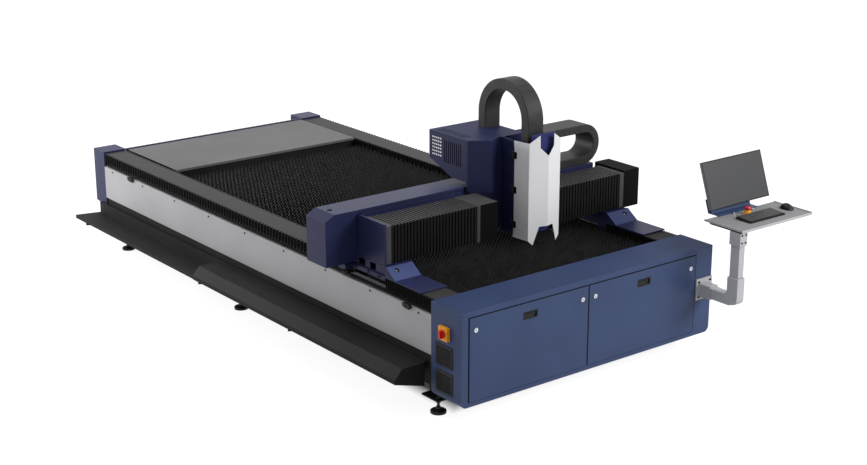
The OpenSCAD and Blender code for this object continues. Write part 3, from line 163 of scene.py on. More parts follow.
def moulded_plastic(name, dark, light, roughness, grain_mm=4.0, coat=0.0):
    """Injection-moulded ABS or nylon: an even colour with a spark-eroded grain, drawn wider to show."""
    material, tree, place = blank_material(name)
    grain = add(tree, "TexVoronoi", {"Vector": place, "Scale": 1 / (grain_mm * MM)}).outputs["Distance"]
    drift = add(tree, "TexNoise", {"Vector": place, "Scale": 1 / (70 * MM), "Detail": 3.0}).outputs["Fac"]
    surface(tree, (drift, dark, light), (grain, roughness - 0.05, roughness + 0.08), (grain, 0.12, 0.35),
            {"IOR": 1.53, "Specular IOR Level": 0.2, "Coat Weight": coat, "Coat Roughness": 0.15})
    return material


def screen_glass(name, dark, light):
    """A switched-off display behind etched anti-glare glass: dark grey with a soft, even reflection."""
    material, tree, place = blank_material(name)
    etch = add(tree, "TexNoise", {"Vector": place, "Scale": 1 / (3 * MM), "Detail": 1.0}).outputs["Fac"]
    surface(tree, (etch, dark, light), (etch, 0.36, 0.46), (etch, 0.05, 0.3),
            {"IOR": 1.52, "Specular IOR Level": 0.3})
    return material


def fleece_with_painted_glow(name, dark, light):
    """White filter fleece with matted threads, and a painted glow: its emission stands in for light through
    the vent holes.
    """
    material, tree, place = blank_material(name)
    mat = add(tree, "TexNoise", {"Vector": place, "Scale": 1 / (5 * MM), "Detail": 5.0}).outputs["Fac"]
    # The emission is painted light: the fleece glows though it is no lamp.
    surface(tree, (mat, dark, light), (mat, 0.88, 0.92), (mat, 0.6, 0.5),
            {"Specular IOR Level": 0.1, "Emission Color": linear("#EAEAEA"), "Emission Strength": 0.9})
    return material


# One finish for each slot of the record, then the variants that share a slot with it
FINISH = {
    "navy_paint": painted_steel("powder_coat_navy", "#222646", "#272B4E", 0.40, 9, 0.25),
    "silver_paint": painted_steel(
        "metal_flake_powder_coat_silver", "#A4A3A5", "#ACABAD", 0.42, 8, 0.2, metal=0.12),
    "charcoal_paint": painted_steel("textured_powder_coat_charcoal", "#2C2C2D", "#363637", 0.58, 6, 0.5),
    "bellows_cloth": coated_cloth("pvc_cloth_black_pleated", "#0F0F10", "#161617"),
    "rail_cloth": coated_cloth("pvc_cloth_grey_pleated", "#343436", "#3D3D3F"),
    "slat_steel": scaled_steel("mill_scale_steel_strip", "#19191A", "#292827"),
    "grey_paint": painted_steel("powder_coat_mid_grey", "#5D5D5E", "#666667", 0.5, 8, 0.2),
    "bright_steel": ground_steel("ground_steel", "#A6A7A9", "#C4C5C7"),
    "black_plastic": moulded_plastic("moulded_nylon_black", "#101011", "#171718", 0.45),
    "white_paint": painted_steel("powder_coat_white", "#DEDEE0", "#E6E6E8", 0.36, 9, 0.15, shine=0.5),
    "yellow_plastic": moulded_plastic("moulded_abs_yellow", "#EE9A10", "#F6A81C", 0.32, coat=0.2),
    "red_plastic": moulded_plastic("moulded_abs_red", "#BE1620", "#CC1E28", 0.3, coat=0.2),
}
CABINET_NAVY = painted_steel("powder_coat_cabinet_blue", "#364466", "#3C4B6E", 0.42, 9, 0.25, shine=0.18)
# A darker, duller copy of the cabinet blue for its top faces: painted shade on the top.
TOP_FACES_PAINTED_SHADE_BLUE = painted_steel("blue_top_painted_shade", "#2A3758", "#303E60", 0.58, 6, 0.4, shine=0.1)
HOUSING_TOP = painted_steel("textured_powder_coat_navy", "#222646", "#272B4E", 0.55, 6, 0.4, shine=0.1)
PLATE_NAVY = painted_steel("powder_coat_plate_blue", "#3E4872", "#444E7A", 0.42, 9, 0.25)
SLIDE_NAVY = painted_steel("powder_coat_slide_blue", "#282E60", "#2E3468", 0.42, 9, 0.25)
CONSOLE_SILVER = painted_steel("metal_flake_powder_coat_pale", "#B0B0B3", "#B8B8BB", 0.4, 8, 0.2, metal=0.05)
TRAY_GREY = painted_steel("powder_coat_tray_grey", "#808082", "#88888A", 0.5, 8, 0.2)
FLANGE_PAINT = painted_steel("powder_coat_flange_grey", "#3E3E3E", "#464646", 0.5, 8, 0.2)
SHELF_PAINT = painted_steel("textured_powder_coat_black", "#1D1D1E", "#252526", 0.6, 6, 0.5, shine=0.08)
DULL_BLACK = painted_steel("dull_black_paint", "#070708", "#0B0B0C", 0.7, 7, 0.2, shine=0.06)
OILED_STEEL = ground_steel("oiled_rail_steel", "#303134", "#404144")
CHROME = ground_steel("satin_chrome", "#BCBEC2", "#D2D4D8")
# Near-black cloth for the sides of the rail covers: painted shade down their folds.
SIDES_PAINTED_SHADE_BLACK = coated_cloth("pvc_cloth_black_painted_side_shade", "#0A0A0B", "#0F0F10", shine=0.05)
# A darker copy of the grey cloth for the tops of the front rail covers: painted shade.
FRONT_TOPS_PAINTED_SHADE_GREY = coated_cloth("pvc_cloth_grey_painted_shade", "#262626", "#2E2E2D", shine=0.06)
# Near-black for the door gaps: painted shade in the gaps.
GAP_PAINTED_SHADE_BLACK = moulded_plastic("gap_painted_shade_black", "#08080A", "#0C0C0E", 0.7)
# Grey for the drive face plates; on the black keys, the same grey on their tops is a painted highlight.
GREY_PLATES_AND_KEY_TOP_HIGHLIGHT = moulded_plastic("moulded_abs_grey_key_top_highlight", "#3E3E40", "#464648", 0.45)
CHAIN_NYLON = moulded_plastic("moulded_nylon_dark_grey", "#272728", "#2F2F30", 0.5, grain_mm=6.0)
CASE_GREY = moulded_plastic("moulded_abs_case_grey", "#7E7E80", "#868688", 0.4)
# The vent pad's fleece, white with a painted glow.
FLEECE_PAINTED_GLOW = fleece_with_painted_glow("white_fleece_painted_glow", "#E2E2E2", "#F2F2F2")
SCREEN = screen_glass("etched_display_glass", "#303133", "#38393B")


# Finishes of the CAD nodes, with softened edges where light would catch them

def dress(name, slot, edge_mm=0.0):
    """Gives a CAD node its finish, and rounds its sharp edges by a bevel of that width."""
    item = NODES[name]
    item.data.materials.clear()
    item.data.materials.append(VARIANT.get(name, FINISH[slot]))
    if not edge_mm:
        return
    item.data.polygons.foreach_set("use_smooth", [True] * len(item.data.polygons))
    weld = item.modifiers.new("weld", "WELD")
    weld.merge_threshold = 0.01 * MM
    flat = item.modifiers.new("flat", "DECIMATE")
    flat.decimate_type = "DISSOLVE"
    flat.angle_limit = math.radians(0.5)
    flat.delimit = {"MATERIAL"}
    soft = item.modifiers.new("soft", "BEVEL")
    soft.width = edge_mm * MM
    soft.segments = 2
    soft.limit_method = "ANGLE"
    soft.angle_limit = math.radians(20)
    soft.harden_normals = True
    even = item.modifiers.new("even", "WEIGHTED_NORMAL")
    even.keep_sharp = True


def paint(name, material, inside):
    """Gives some faces of a CAD node another material: those for which inside(centre, normal) is true."""
    mesh = NODES[name].data
    mesh.materials.append(material)
    index = len(mesh.materials) - 1
    for face in mesh.polygons:
        if inside(face.center, face.normal):
            face.material_index = index


SHEET_EDGE = 0.9
PLATE_EDGE = 2.0
CAST_EDGE = 4.0
EDGES = {
    SHEET_EDGE: [
        "side_panels", "side_shelves", "shelf_covers", "rear_panel", "rear_deck", "cabinet_shell",
        "door_left", "door_right", "beam_cover", "end_cover", "end_cap", "head_shroud", "head_shell",
        "bellows_frames", "tray", "monitor_bracket", "paddle_left", "paddle_right", "keyboard",
    ],
    PLATE_EDGE: [
        "rear_posts", "end_plates", "gantry_feet", "saddle", "z_slide", "monitor", "bed_legs",
        "switch_plate", "switch_knob", "console_post", "gantry_beam",
    ],
    CAST_EDGE: ["console_flange", "console_arm", "console_head"],
}
WEARERS = [
    (CABINET_NAVY, ["cabinet_shell", "door_left", "door_right", "monitor_bracket"]),
    (SLIDE_NAVY, ["z_slide"]),
    (CONSOLE_SILVER, ["console_flange", "console_arm", "console_post", "console_head", "tray"]),
    (SHELF_PAINT, ["side_shelves", "shelf_covers", "bed_frame", "bed_legs"]),
    (DULL_BLACK, ["bellows_frames", "end_cap"]),
    (OILED_STEEL, ["y_guides"]),
    (CHROME, ["button_rings", "button_1", "button_2", "button_3", "lock_1", "lock_2", "lock_3", "lock_4"]),
    (CASE_GREY, ["monitor"]),
]
VARIANT = {name: material for material, names in WEARERS for name in names}
edge_of = {name: width for width, names in EDGES.items() for name in names}
for part in frame["record"]["subparts"]:
    dress(part["node"], part["material_slot"], edge_of.get(part["node"], 0.0))


# Mesh forms: a form is a list of points and a list of faces

SUNK = 0.5 * MM  # how far a small piece reaches into what it stands on


def skin(rows, wide):
    """Faces of a closed tube through rows of points, each a closed outline, with a face at both ends."""
    faces = [
        (i * wide + j, i * wide + (j + 1) % wide, (i + 1) * wide + (j + 1) % wide, (i + 1) * wide + j)
        for i in range(rows - 1) for j in range(wide)
    ]
    last = (rows - 1) * wide
    return faces + [tuple(range(wide))[::-1], tuple(range(last, last + wide))]


def together(forms):
    """Several forms as one."""
    points, faces = [], []
    for form_points, form_faces in forms:
        faces += [tuple(len(points) + k for k in face) for face in form_faces]
        points += [tuple(p) for p in form_points]
    return points, faces


def aimed(form, at, out):
    """A form drawn around +Z, turned so that +Z points out, and set down at a place."""
    turn = UP.rotation_difference(out)
    return [tuple(Vector(at) + turn @ Vector(p)) for p in form[0]], form[1]


def ring(radii, z):
    """Points round +Z at a height, one at each radius."""
    turns = [2 * math.pi * k / len(radii) for k in range(len(radii))]
    return [(r * math.cos(turn), r * math.sin(turn), z) for r, turn in zip(radii, turns)]


def turned(profile, steps=24):
    """A form turned round +Z from (radius, height) pairs, closed at both ends."""
    return [p for r, z in profile for p in ring([r] * steps, z)], skin(len(profile), steps)


def cap_screw(d, h, steps=24):
    """The head of a socket screw: a chamfered disc with a hexagon socket."""
    key, sixth = 0.29 * d, math.pi / 3
    turns = [2 * math.pi * k / steps for k in range(steps)]
    socket = [key / math.cos((turn + sixth / 2) % sixth - sixth / 2) for turn in turns]
    rim, chamfer = [d / 2] * steps, [0.44 * d] * steps
    rows = [(rim, -SUNK), (rim, 0.75 * h), (chamfer, h), (socket, h), (socket, 0.35 * h)]
    return [p for radii, z in rows for p in ring(radii, z)], skin(len(rows), steps)


def box_form(low, high):
    """A six-sided block between two corners."""
    foot = [(low[0], low[1]), (high[0], low[1]), (high[0], high[1]), (low[0], high[1])]
    return [(x, y, z) for z in (low[2], high[2]) for x, y in foot], skin(2, len(foot))


def cut_corners(wide, tall, cut):
    """The outline of a rectangle round the origin, with its corners cut off."""
    w, t, c = wide / 2, tall / 2, cut
    right = [(w - c, -t), (w, c - t), (w, t - c), (w - c, t)]
    return [(c - w, -t)] + right + [(c - w, t), (-w, t - c), (-w, c - t)]


def piece(name, form, slot, body=None, smooth=False, material=None):
    """A new object from a form, with a slot's finish or a variant of it, riding on a body if one is named."""
    mesh = bpy.data.meshes.new(name)
    mesh.from_pydata([tuple(p) for p in form[0]], [], form[1])
    mesh.materials.append(material or FINISH[slot])
    mesh.polygons.foreach_set("use_smooth", [smooth] * len(mesh.polygons))
    made = bpy.data.objects.new(name, mesh)
    bpy.context.scene.collection.objects.link(made)
    if body:
        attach(made, body)
    return made


def edged(made, width_mm):
    """Rounds a piece's sharp edges."""
    soft = made.modifiers.new("soft", "BEVEL")
    soft.width = width_mm * MM
    soft.segments = 2
    soft.limit_method = "ANGLE"
    soft.angle_limit = math.radians(35)


def stretch(made, start, end):
    """Bakes a piece's place into its mesh; it does not make the piece stretch.
    The start and end are not used."""
    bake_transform(made)


# Bellows

COVER_WALL = 3 * MM
CREST_CORNER = 5 * MM


def rounded(corners, radius, steps=3):
    """An open line through corners, each inner corner replaced by a small curve."""
    line = [corners[0]]
    for before, corner, after in zip(corners, corners[1:], corners[2:]):
        corner = Vector(corner)
        one = corner + (Vector(before) - corner).normalized() * radius
        two = corner + (Vector(after) - corner).normalized() * radius
        for k in range(steps + 1):
            t = k / steps
            line.append(tuple(one * (1 - t) ** 2 + corner * 2 * t * (1 - t) + two * t ** 2))
    return line + [corners[-1]]


def pleat_rows(start, end, count, crest, valley, flat=0.2):
    """Places and outlines of a pleated cover: each pleat rises from a valley to a narrow flat crest."""
    step = (end - start) / count
    rows = []
    for i in range(count):
        middle, half = start + (i + 0.5) * step, step * flat / 2
        rows += [(start + i * step, valley), (middle - half, crest), (middle + half, crest)]
    return rows + [(end, valley)]


RAIL_COVER_W = 192 * MM
RAIL_PLEAT = 16 * MM
RAIL_TOOTH = 12 * MM
RAIL_TOP_DIP = 0.8 * MM
VALLEY_CORNER = 14 * MM
REAR_PITCH = 36 * MM
FRONT_PITCH = 18 * MM


def rail_outline(inset, low, high, corner):
    """The arch of a rail cover, in x and z: up one side, over the top, down the other and back inside."""
    half = RAIL_COVER_W / 2 - inset
    under, roof = half - COVER_WALL, high - COVER_WALL
    outer = rounded([(-half, low), (-half, high), (half, high), (half, low)], corner)
    inner = rounded([(under, low), (under, roof), (-under, roof), (-under, low)], corner - MM)
    return outer + inner


def rail_cover(name, node, side, pitch, top_cloth):
    """Pleated cover over one rail: a smooth grey top, and folds down both sides that end in teeth, painted
    near black as painted shade.
    """
    low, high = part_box(node)
    x = low.x + RAIL_COVER_W / 2 if side == "left" else high.x - RAIL_COVER_W / 2
    crest = rail_outline(0, low.z, high.z, CREST_CORNER)
    valley = rail_outline(RAIL_PLEAT, low.z + RAIL_TOOTH, high.z - RAIL_TOP_DIP, VALLEY_CORNER)
    rows = pleat_rows(low.y, high.y, round((high.y - low.y) / pitch), crest, valley)
    wide = len(crest)
    points = [(x + u, y, v) for y, outline in rows for u, v in outline]
    made = piece(name, (points, skin(len(rows), wide)), "rail_cloth", material=top_cloth)
    made.data.materials.append(SIDES_PAINTED_SHADE_BLACK)
    # Faces off the top take the near-black cloth: painted shade down the sides.
    for face in made.data.polygons:
        top = face.center.z > high.z - COVER_WALL and face.normal.z > 0.5
        face.material_index = 0 if top else 1
    stretch(made, (x, low.y, high.z), (x, high.y, high.z))
    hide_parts(node)


for side in ("left", "right"):
    rail_cover(f"rail_bellows_rear_{side}", "rail_bellows", side, REAR_PITCH,
               FINISH["rail_cloth"])
    # The front covers' tops take the darker grey cloth: painted shade.
    rail_cover(f"rail_bellows_front_{side}", "front_bellows", side, FRONT_PITCH,
               FRONT_TOPS_PAINTED_SHADE_GREY)

BOX_PLEAT = 22 * MM
BOX_PITCH = 24 * MM
BOX_CREST = 2 * MM
BOX_CORNER = 26 * MM
BOX_FLAT = 0.6
END_FLANGE = 34 * MM
FRAME_FLANGE = 24 * MM


def box_outline(inset, low, high, corner):
    """The channel of the beam's bellows, in y and z: open towards the beam."""
    front, back = low.y + inset, high.y
    foot, top = low.z + inset, high.z - inset
    face, floor, roof = front + COVER_WALL, foot + COVER_WALL, top - COVER_WALL
    outer = rounded([(back, top), (front, top), (front, foot), (back, foot)], corner)
    inner = rounded([(back, floor), (face, floor), (face, roof), (back, roof)], corner - MM)
    return outer + inner


def box_bellows(name, node, flange_a, flange_b):
    """Deep pleated box along the beam, with painted flanges at the ends that have them. Its upward faces at
    the top take the grey cloth: painted light on the top of the black cloth.
    """
    low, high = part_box(node)
    start, end = low.x + flange_a, high.x - flange_b
    crest = box_outline(BOX_CREST, low, high, CREST_CORNER)
    valley = box_outline(BOX_PLEAT, low, high, BOX_CORNER)
    edge = box_outline(0, low, high, CREST_CORNER)
    rows = pleat_rows(start, end, round((end - start) / BOX_PITCH), crest, valley, BOX_FLAT)
    if flange_a:
        rows = [(low.x, edge), (start, edge)] + rows
    if flange_b:
        rows = rows + [(end, edge), (high.x, edge)]
    wide = len(edge)
    points = [(x, u, v) for x, outline in rows for u, v in outline]
    made = piece(name, (points, skin(len(rows), wide)), "bellows_cloth")
    made.data.materials.append(FLANGE_PAINT)
    made.data.materials.append(FINISH["rail_cloth"])
    # Flange faces take the flange paint; upward faces at the top take the grey cloth as painted light on the
    # top.
    for face in made.data.polygons:
        if not start < face.center.x < end:
            face.material_index = 1
        elif face.normal.z > 0.35 and face.center.z > high.z - BOX_PLEAT - MM:
            face.material_index = 2
    stretch(made, (start, low.y, high.z), (end, low.y, high.z))
    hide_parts(node)


box_bellows("beam_bellows_left", "box_bellows_left", END_FLANGE, FRAME_FLANGE)
box_bellows("beam_bellows_right", "box_bellows_right", 0, END_FLANGE)


# Drag chains

LINK = 46 * MM
LINK_CORNER = 4 * MM
SEAM = 0.7 * MM
SEAM_DEPTH = 0.8 * MM


def chain_route(first, bend, last, radius, start_angle):
    """A flat route: a straight run, half a turn and a straight run back. The function that it returns gives
    the place, the way out and the share of the motion at a length along it. The share is 0 at the fixed end,
    a half all round the bend and 1 at the moving end."""
    first, bend, last = Vector(first), Vector(bend), Vector(last)
    out = Vector((math.cos(start_angle), math.sin(start_angle)))
    bend_start, bend_end = bend + out * radius, bend - out * radius
    run_a, turn, run_b = (bend_start - first).length, math.pi * radius, (bend_end - last).length

    def at(length):
        if length <= run_a:
            return first.lerp(bend_start, length / run_a), out, 0.5 * length / run_a
        if length <= run_a + turn:
            angle = start_angle + (length - run_a) / radius
            way = Vector((math.cos(angle), math.sin(angle)))
            return bend + way * radius, way, 0.5
        share = (length - run_a - turn) / run_b
        return bend_end.lerp(last, share), -out, 0.5 + 0.5 * share

    return at, run_a + turn + run_b


def drag_chain(name, node, route, length, width, thick, to_space):
    """Closed nylon links along a route, with a narrow seam between one link and the next."""
    links = round(length / LINK)
    step = length / links
    full = cut_corners(width, thick, LINK_CORNER)
    sunk = cut_corners(width - 2 * SEAM_DEPTH, thick - 2 * SEAM_DEPTH, LINK_CORNER)
    rows = [(0.0, full)]
    for i in range(links):
        start, end = i * step, (i + 1) * step
        rows += [(start + step * k / 4, full) for k in (1, 2, 3)]
        if i < links - 1:
            rows += [(end - SEAM, full), (end - SEAM, sunk), (end + SEAM, sunk), (end + SEAM, full)]
    rows.append((length, full))
    points, shares = [], []
    for place, section in rows:
        middle, out, share = route(place)
        for across, up in section:
            points.append(to_space(across, middle + out * up))
            shares.append(share)
    made = piece(name, (points, skin(len(rows), len(full))), "black_plastic", material=CHAIN_NYLON)
    stretch(made, to_space(0, route(0)[0]), to_space(0, route(length)[0]))
    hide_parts(node)


X_CHAIN_THICK = 54 * MM
X_CHAIN_RETURN = 184 * MM
low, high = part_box("x_chain")
half = X_CHAIN_THICK / 2
outer = (high.z - low.z) / 2
middle_y = (low.y + high.y) / 2
route, length = chain_route(
    (low.x, low.z + half), (high.x - outer, low.z + outer), (low.x + X_CHAIN_RETURN, high.z - half),
    outer - half, -math.pi / 2)
drag_chain("beam_drag_chain", "x_chain", route, length, high.y - low.y, X_CHAIN_THICK,
           lambda across, p: (p.x, middle_y + across, p.y))

Z_CHAIN_THICK = 68 * MM
low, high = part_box("z_chain")
half = Z_CHAIN_THICK / 2
outer = (high.y - low.y) / 2
middle_x = (low.x + high.x) / 2
route, length = chain_route(
    (high.y - half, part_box("housing")[1].z), (low.y + outer, high.z - outer), (low.y + half, low.z),
    outer - half, 0.0)
drag_chain("head_drag_chain", "z_chain", route, length, high.x - low.x, Z_CHAIN_THICK,
           lambda across, p: (middle_x - across, p.x, p.y))


# Painted areas of CAD nodes

FACING = 0.9  # a face looks along an axis when its normal has more than this of it
HINGE_REACH = 12.5 * MM
hinge_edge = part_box("head_shroud")[0].x + HINGE_REACH
paint("head_shroud", FINISH["black_plastic"], lambda c, n: c.x < hinge_edge)

# Handle dishes in the doors: all of the dish, but not the door's sheet round it
DISH_HALF_W = 54 * MM
DISH_HALF_H = 24 * MM
DISH_FLANGE = 2 * MM
SHEET_FRONT = 1.9 * MM
SHEET_BACK = 5.2 * MM
LOCK_RADIUS = 14 * MM
DOORS = {"door_left": ("lock_1", "lock_2"), "door_right": ("lock_3", "lock_4")}
for door, locks in DOORS.items():
    boxes = [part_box(lock) for lock in locks]
    dish_x = sum(b[0].x + b[1].x for b in boxes) / 4
    dish_z = boxes[0][1].z - LOCK_RADIUS
    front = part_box(door)[0].y
    paint(door, FINISH["black_plastic"], lambda c, n: (
        abs(c.x - dish_x) < DISH_HALF_W and abs(c.z - dish_z) < DISH_HALF_H
        and not front + SHEET_FRONT <= c.y <= front + SHEET_BACK))

SLOPE_UP, SLOPE_FRONT = 0.7, -0.4
paint("gantry_feet", PLATE_NAVY, lambda c, n: n.z > SLOPE_UP and n.y < SLOPE_FRONT)
paint("housing", HOUSING_TOP, lambda c, n: n.z > FACING)
paint("end_plates", DULL_BLACK, lambda c, n: c.x > 0)
paint("gantry_beam", FINISH["navy_paint"], lambda c, n: n.y < -0.5)
# The frames' top faces are painted grey: painted light on the top of the black frames.
paint("bellows_frames", FINISH["rail_cloth"], lambda c, n: n.z > FACING)

BEZEL_SIDE = 8.5 * MM
BEZEL_FOOT = 11 * MM
BEZEL_TOP = 10 * MM
LEANING = 0.8  # the monitor leans back, so its faces look less squarely along Y
low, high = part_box("monitor")
paint("monitor", FINISH["black_plastic"], lambda c, n: abs(n.y) > LEANING)
paint("monitor", SCREEN, lambda c, n: (
    n.y < -LEANING and low.x + BEZEL_SIDE < c.x < high.x - BEZEL_SIDE
    and low.z + BEZEL_FOOT < c.z < high.z - BEZEL_TOP))

TRAY_RIM = 4 * MM
TRAY_DEPTH = 6 * MM
TRAY_SHEET = 2 * MM
low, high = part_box("tray")
tray_floor = high.z - TRAY_DEPTH
paint("tray", FINISH["black_plastic"], lambda c, n: (
    c.z < tray_floor - TRAY_SHEET and low.y + TRAY_RIM < c.y
    and low.x + TRAY_RIM < c.x < high.x - TRAY_RIM))
paint("tray", TRAY_GREY, lambda c, n: n.z > FACING and tray_floor < c.z < tray_floor + TRAY_SHEET)

KEYBOARD_FRONT = 9 * MM
KEY_TALL = 2 * MM
KEY_RISE = 1.5 * MM
low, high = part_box("keyboard")
key_slope = (high.z - low.z - KEYBOARD_FRONT - KEY_TALL) / (high.y - low.y)
key_foot = low.z + KEYBOARD_FRONT + KEY_RISE
# The tops of the black keys are painted grey: a painted highlight.
paint("keyboard", GREY_PLATES_AND_KEY_TOP_HIGHLIGHT, lambda c, n: n.z > FACING and c.z > key_foot + key_slope * (c.y - low.y))

# The cabinet's top faces take the darker blue: painted shade on the top.
TOP_SHEET = 5 * MM
cabinet_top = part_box("cabinet_shell")[1].z
paint("cabinet_shell", TOP_FACES_PAINTED_SHADE_BLUE, lambda c, n: n.z > FACING and c.z > cabinet_top - TOP_SHEET)

# Painted shade in the gaps beside and above the doors: the doors' edge faces and the cabinet's jambs are
# painted near black
SEAL_REACH = 8 * MM
for door in DOORS:
    paint(door, GAP_PAINTED_SHADE_BLACK, lambda c, n: abs(n.y) < 0.1 and (abs(n.x) > FACING or n.z > FACING))
seal = Vector((SEAL_REACH, SEAL_REACH, SEAL_REACH))
low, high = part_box("door_left")[0] - seal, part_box("door_right")[1] + seal
paint("cabinet_shell", GAP_PAINTED_SHADE_BLACK, lambda c, n: (
    abs(n.y) < 0.1 and n.z < 0.5 and low.x < c.x < high.x and c.y < high.y and low.z < c.z < high.z))


# Screws: the head's diameter and height, and its places

PANEL_SCREW = (12 * MM, 4 * MM)
PANEL_SCREW_INSET = 18 * MM
PANEL_SCREWS = 9
PANEL_END = 130 * MM
low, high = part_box("side_panels")
screws = []
for k in range(PANEL_SCREWS):
    y = low.y + PANEL_END + k * (high.y - low.y - 2 * PANEL_END) / (PANEL_SCREWS - 1)
    z = high.z - PANEL_SCREW_INSET
    screws += [aimed(cap_screw(*PANEL_SCREW), (low.x, y, z), LEFT),
               aimed(cap_screw(*PANEL_SCREW), (high.x, y, z), RIGHT)]
piece("side_panel_screws", together(screws), "black_plastic", "machine")

FLANGE_SCREW = (13 * MM, 7 * MM)
FLANGE_SIDE = 138 * MM
FLANGE_PLATE = 10 * MM
FLANGE_HOLE = 20 * MM
low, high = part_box("console_flange")
screws = []
for x in (low.x + FLANGE_HOLE, low.x + FLANGE_SIDE - FLANGE_HOLE):
    for z in (low.z + FLANGE_HOLE, high.z - FLANGE_HOLE):
        screws.append(aimed(cap_screw(*FLANGE_SCREW), (x, high.y - FLANGE_PLATE, z), FRONT))
HEAD_SCREW = (11 * MM, 5 * MM)
HEAD_SCREW_INSET = 16 * MM
HEAD_SCREW_RISES = (22 * MM, 70 * MM)
low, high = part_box("console_head")
for x in (low.x + HEAD_SCREW_INSET, high.x - HEAD_SCREW_INSET):
    for rise in HEAD_SCREW_RISES:
        screws.append(aimed(cap_screw(*HEAD_SCREW), (x, low.y, low.z + rise), FRONT))
piece("console_screws", together(screws), "black_plastic", "machine")

FOOT_SCREW = (16 * MM, 8 * MM)
FOOT_SCREW_DROP = 4 * MM
FOOT_SCREW_STEPS = (60 * MM, 170 * MM, 290 * MM, 420 * MM)
RAIL_LOW, RAIL_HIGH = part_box("rail_bellows")
RISER_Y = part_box("front_bellows")[1].y
screws = []
for step in FOOT_SCREW_STEPS:
    y, z = RISER_Y + step, RAIL_HIGH.z - FOOT_SCREW_DROP
    screws += [aimed(cap_screw(*FOOT_SCREW), (RAIL_LOW.x, y, z), LEFT),
               aimed(cap_screw(*FOOT_SCREW), (RAIL_HIGH.x, y, z), RIGHT)]
piece("gantry_foot_screws", together(screws), "bright_steel", "gantry", material=OILED_STEEL)

# A bright screw at the bottom of the recess in each sloped foot plate, whose walls are painted black as
# painted shade
EYE_SCREW = (13 * MM, 7 * MM)
EYE_OUT = 38.4 * MM
EYE_BACK = 40.1 * MM
EYE_HIGH = 50.8 * MM
EYE_DEPTH = 12 * MM
EYE_REACH = 22 * MM
SLOPE = math.atan2(60, 88)
slope_out = Vector((0, -math.sin(SLOPE), math.cos(SLOPE)))
screws = []
for side, x in ((-1, RAIL_LOW.x + RAIL_COVER_W / 2), (1, RAIL_HIGH.x - RAIL_COVER_W / 2)):
    eye = Vector((x + side * EYE_OUT, RISER_Y - EYE_BACK, RAIL_HIGH.z + EYE_HIGH))
    screws.append(aimed(cap_screw(*EYE_SCREW), eye - slope_out * EYE_DEPTH, slope_out))
    # The recess walls round the eye are painted black: painted shade in the hole.
    paint("gantry_feet", FINISH["black_plastic"], lambda c, n: (
        (c - eye).length < EYE_REACH and n.dot(slope_out) < FACING))
piece("foot_plate_screws", together(screws), "bright_steel", "gantry")


# Console mouse

def mouse_form(low, high, rings=22, steps=20):
    """A computer mouse: rings along its length, flat below and domed above, highest behind the middle."""
    points = []
    for i in range(rings):
        t = 0.01 + 0.98 * i / (rings - 1)
        end = abs(2 * t - 1)
        wide = (1 - end ** 2.6) ** 0.45 * (high.x - low.x) / 2
        dome = 0.25 + 0.75 * math.sin(math.pi * t ** 1.15) ** 0.8
        tall = max((high.z - low.z) * dome * (1 - end ** 8), 2 * MM)
        for k in range(steps):
            turn = math.pi * k / (steps - 1)
            points.append(((low.x + high.x) / 2 + wide * math.cos(turn), low.y + t * (high.y - low.y),
                           low.z + tall * math.sin(turn) ** 0.7))
    return points, skin(rings, steps)


WHEEL_PROFILE = [(4 * MM, -4 * MM), (9 * MM, -3 * MM), (9 * MM, 3 * MM), (4 * MM, 4 * MM)]
WHEEL_BACK = 30 * MM
WHEEL_RISE = 21 * MM
low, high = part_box("mouse")
wheel_place = ((low.x + high.x) / 2, low.y + WHEEL_BACK, low.z + WHEEL_RISE)
wheel = aimed(turned(WHEEL_PROFILE), wheel_place, RIGHT)
made = piece("desk_mouse", together([mouse_form(low, high), wheel]), "black_plastic", "console", smooth=True)
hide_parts("mouse")


# Hinge leaves on the shroud's left flank

LEAF_W = 24 * MM
LEAF_H = 44 * MM
LEAF_THICK = 3 * MM
LEAF_SET_BACK = 8 * MM
LEAF_CORNER = 4 * MM
LEAF_SCREW = (6 * MM, 1.6 * MM)


def leaf_form(wide, tall, thick):
    """A plate in its own x and y, standing on z = 0, with cut corners, a chamfer and two screws."""
    outline = cut_corners(wide, tall, LEAF_CORNER)
    rows = [(1.0, -SUNK), (1.0, 0.7 * thick), (0.94, thick)]
    plate = ([(u * k, v * k, z) for k, z in rows for u, v in outline], skin(len(rows), len(outline)))
    heads = [aimed(cap_screw(*LEAF_SCREW), (0, v, thick), UP) for v in (-0.28 * tall, 0.28 * tall)]
    return together([plate] + heads)


mesh = NODES["head_shroud"].data
left_faces = [f for f in mesh.polygons if f.normal.x < -0.5 and f.normal.y < 0]
flank = max(left_faces, key=lambda f: f.area)
flank_out = flank.normal.copy()
across = Vector((-flank_out.y, flank_out.x, 0))
flank_back = max(mesh.vertices[k].co.y for k in flank.vertices)
knuckle_tops = [f.center.z for f in mesh.polygons if f.normal.z > FACING and f.center.x < hinge_edge]
leaves = []
for top in sorted(set(round(z, 4) for z in knuckle_tops)):
    middle = flank.center + across * (flank_back - LEAF_SET_BACK - flank.center.y) / across.y
    middle.z = top - LEAF_H / 2
    points, faces = leaf_form(LEAF_W, LEAF_H, LEAF_THICK)
    leaves.append(([middle + across * u + UP * v + flank_out * w for u, v, w in points], faces))
piece("shroud_hinge_leaves", together(leaves), "black_plastic", "shroud", material=DULL_BLACK)


# Pale filter pad behind the housing's round vent holes, with a painted glow that makes them read as light
# dots

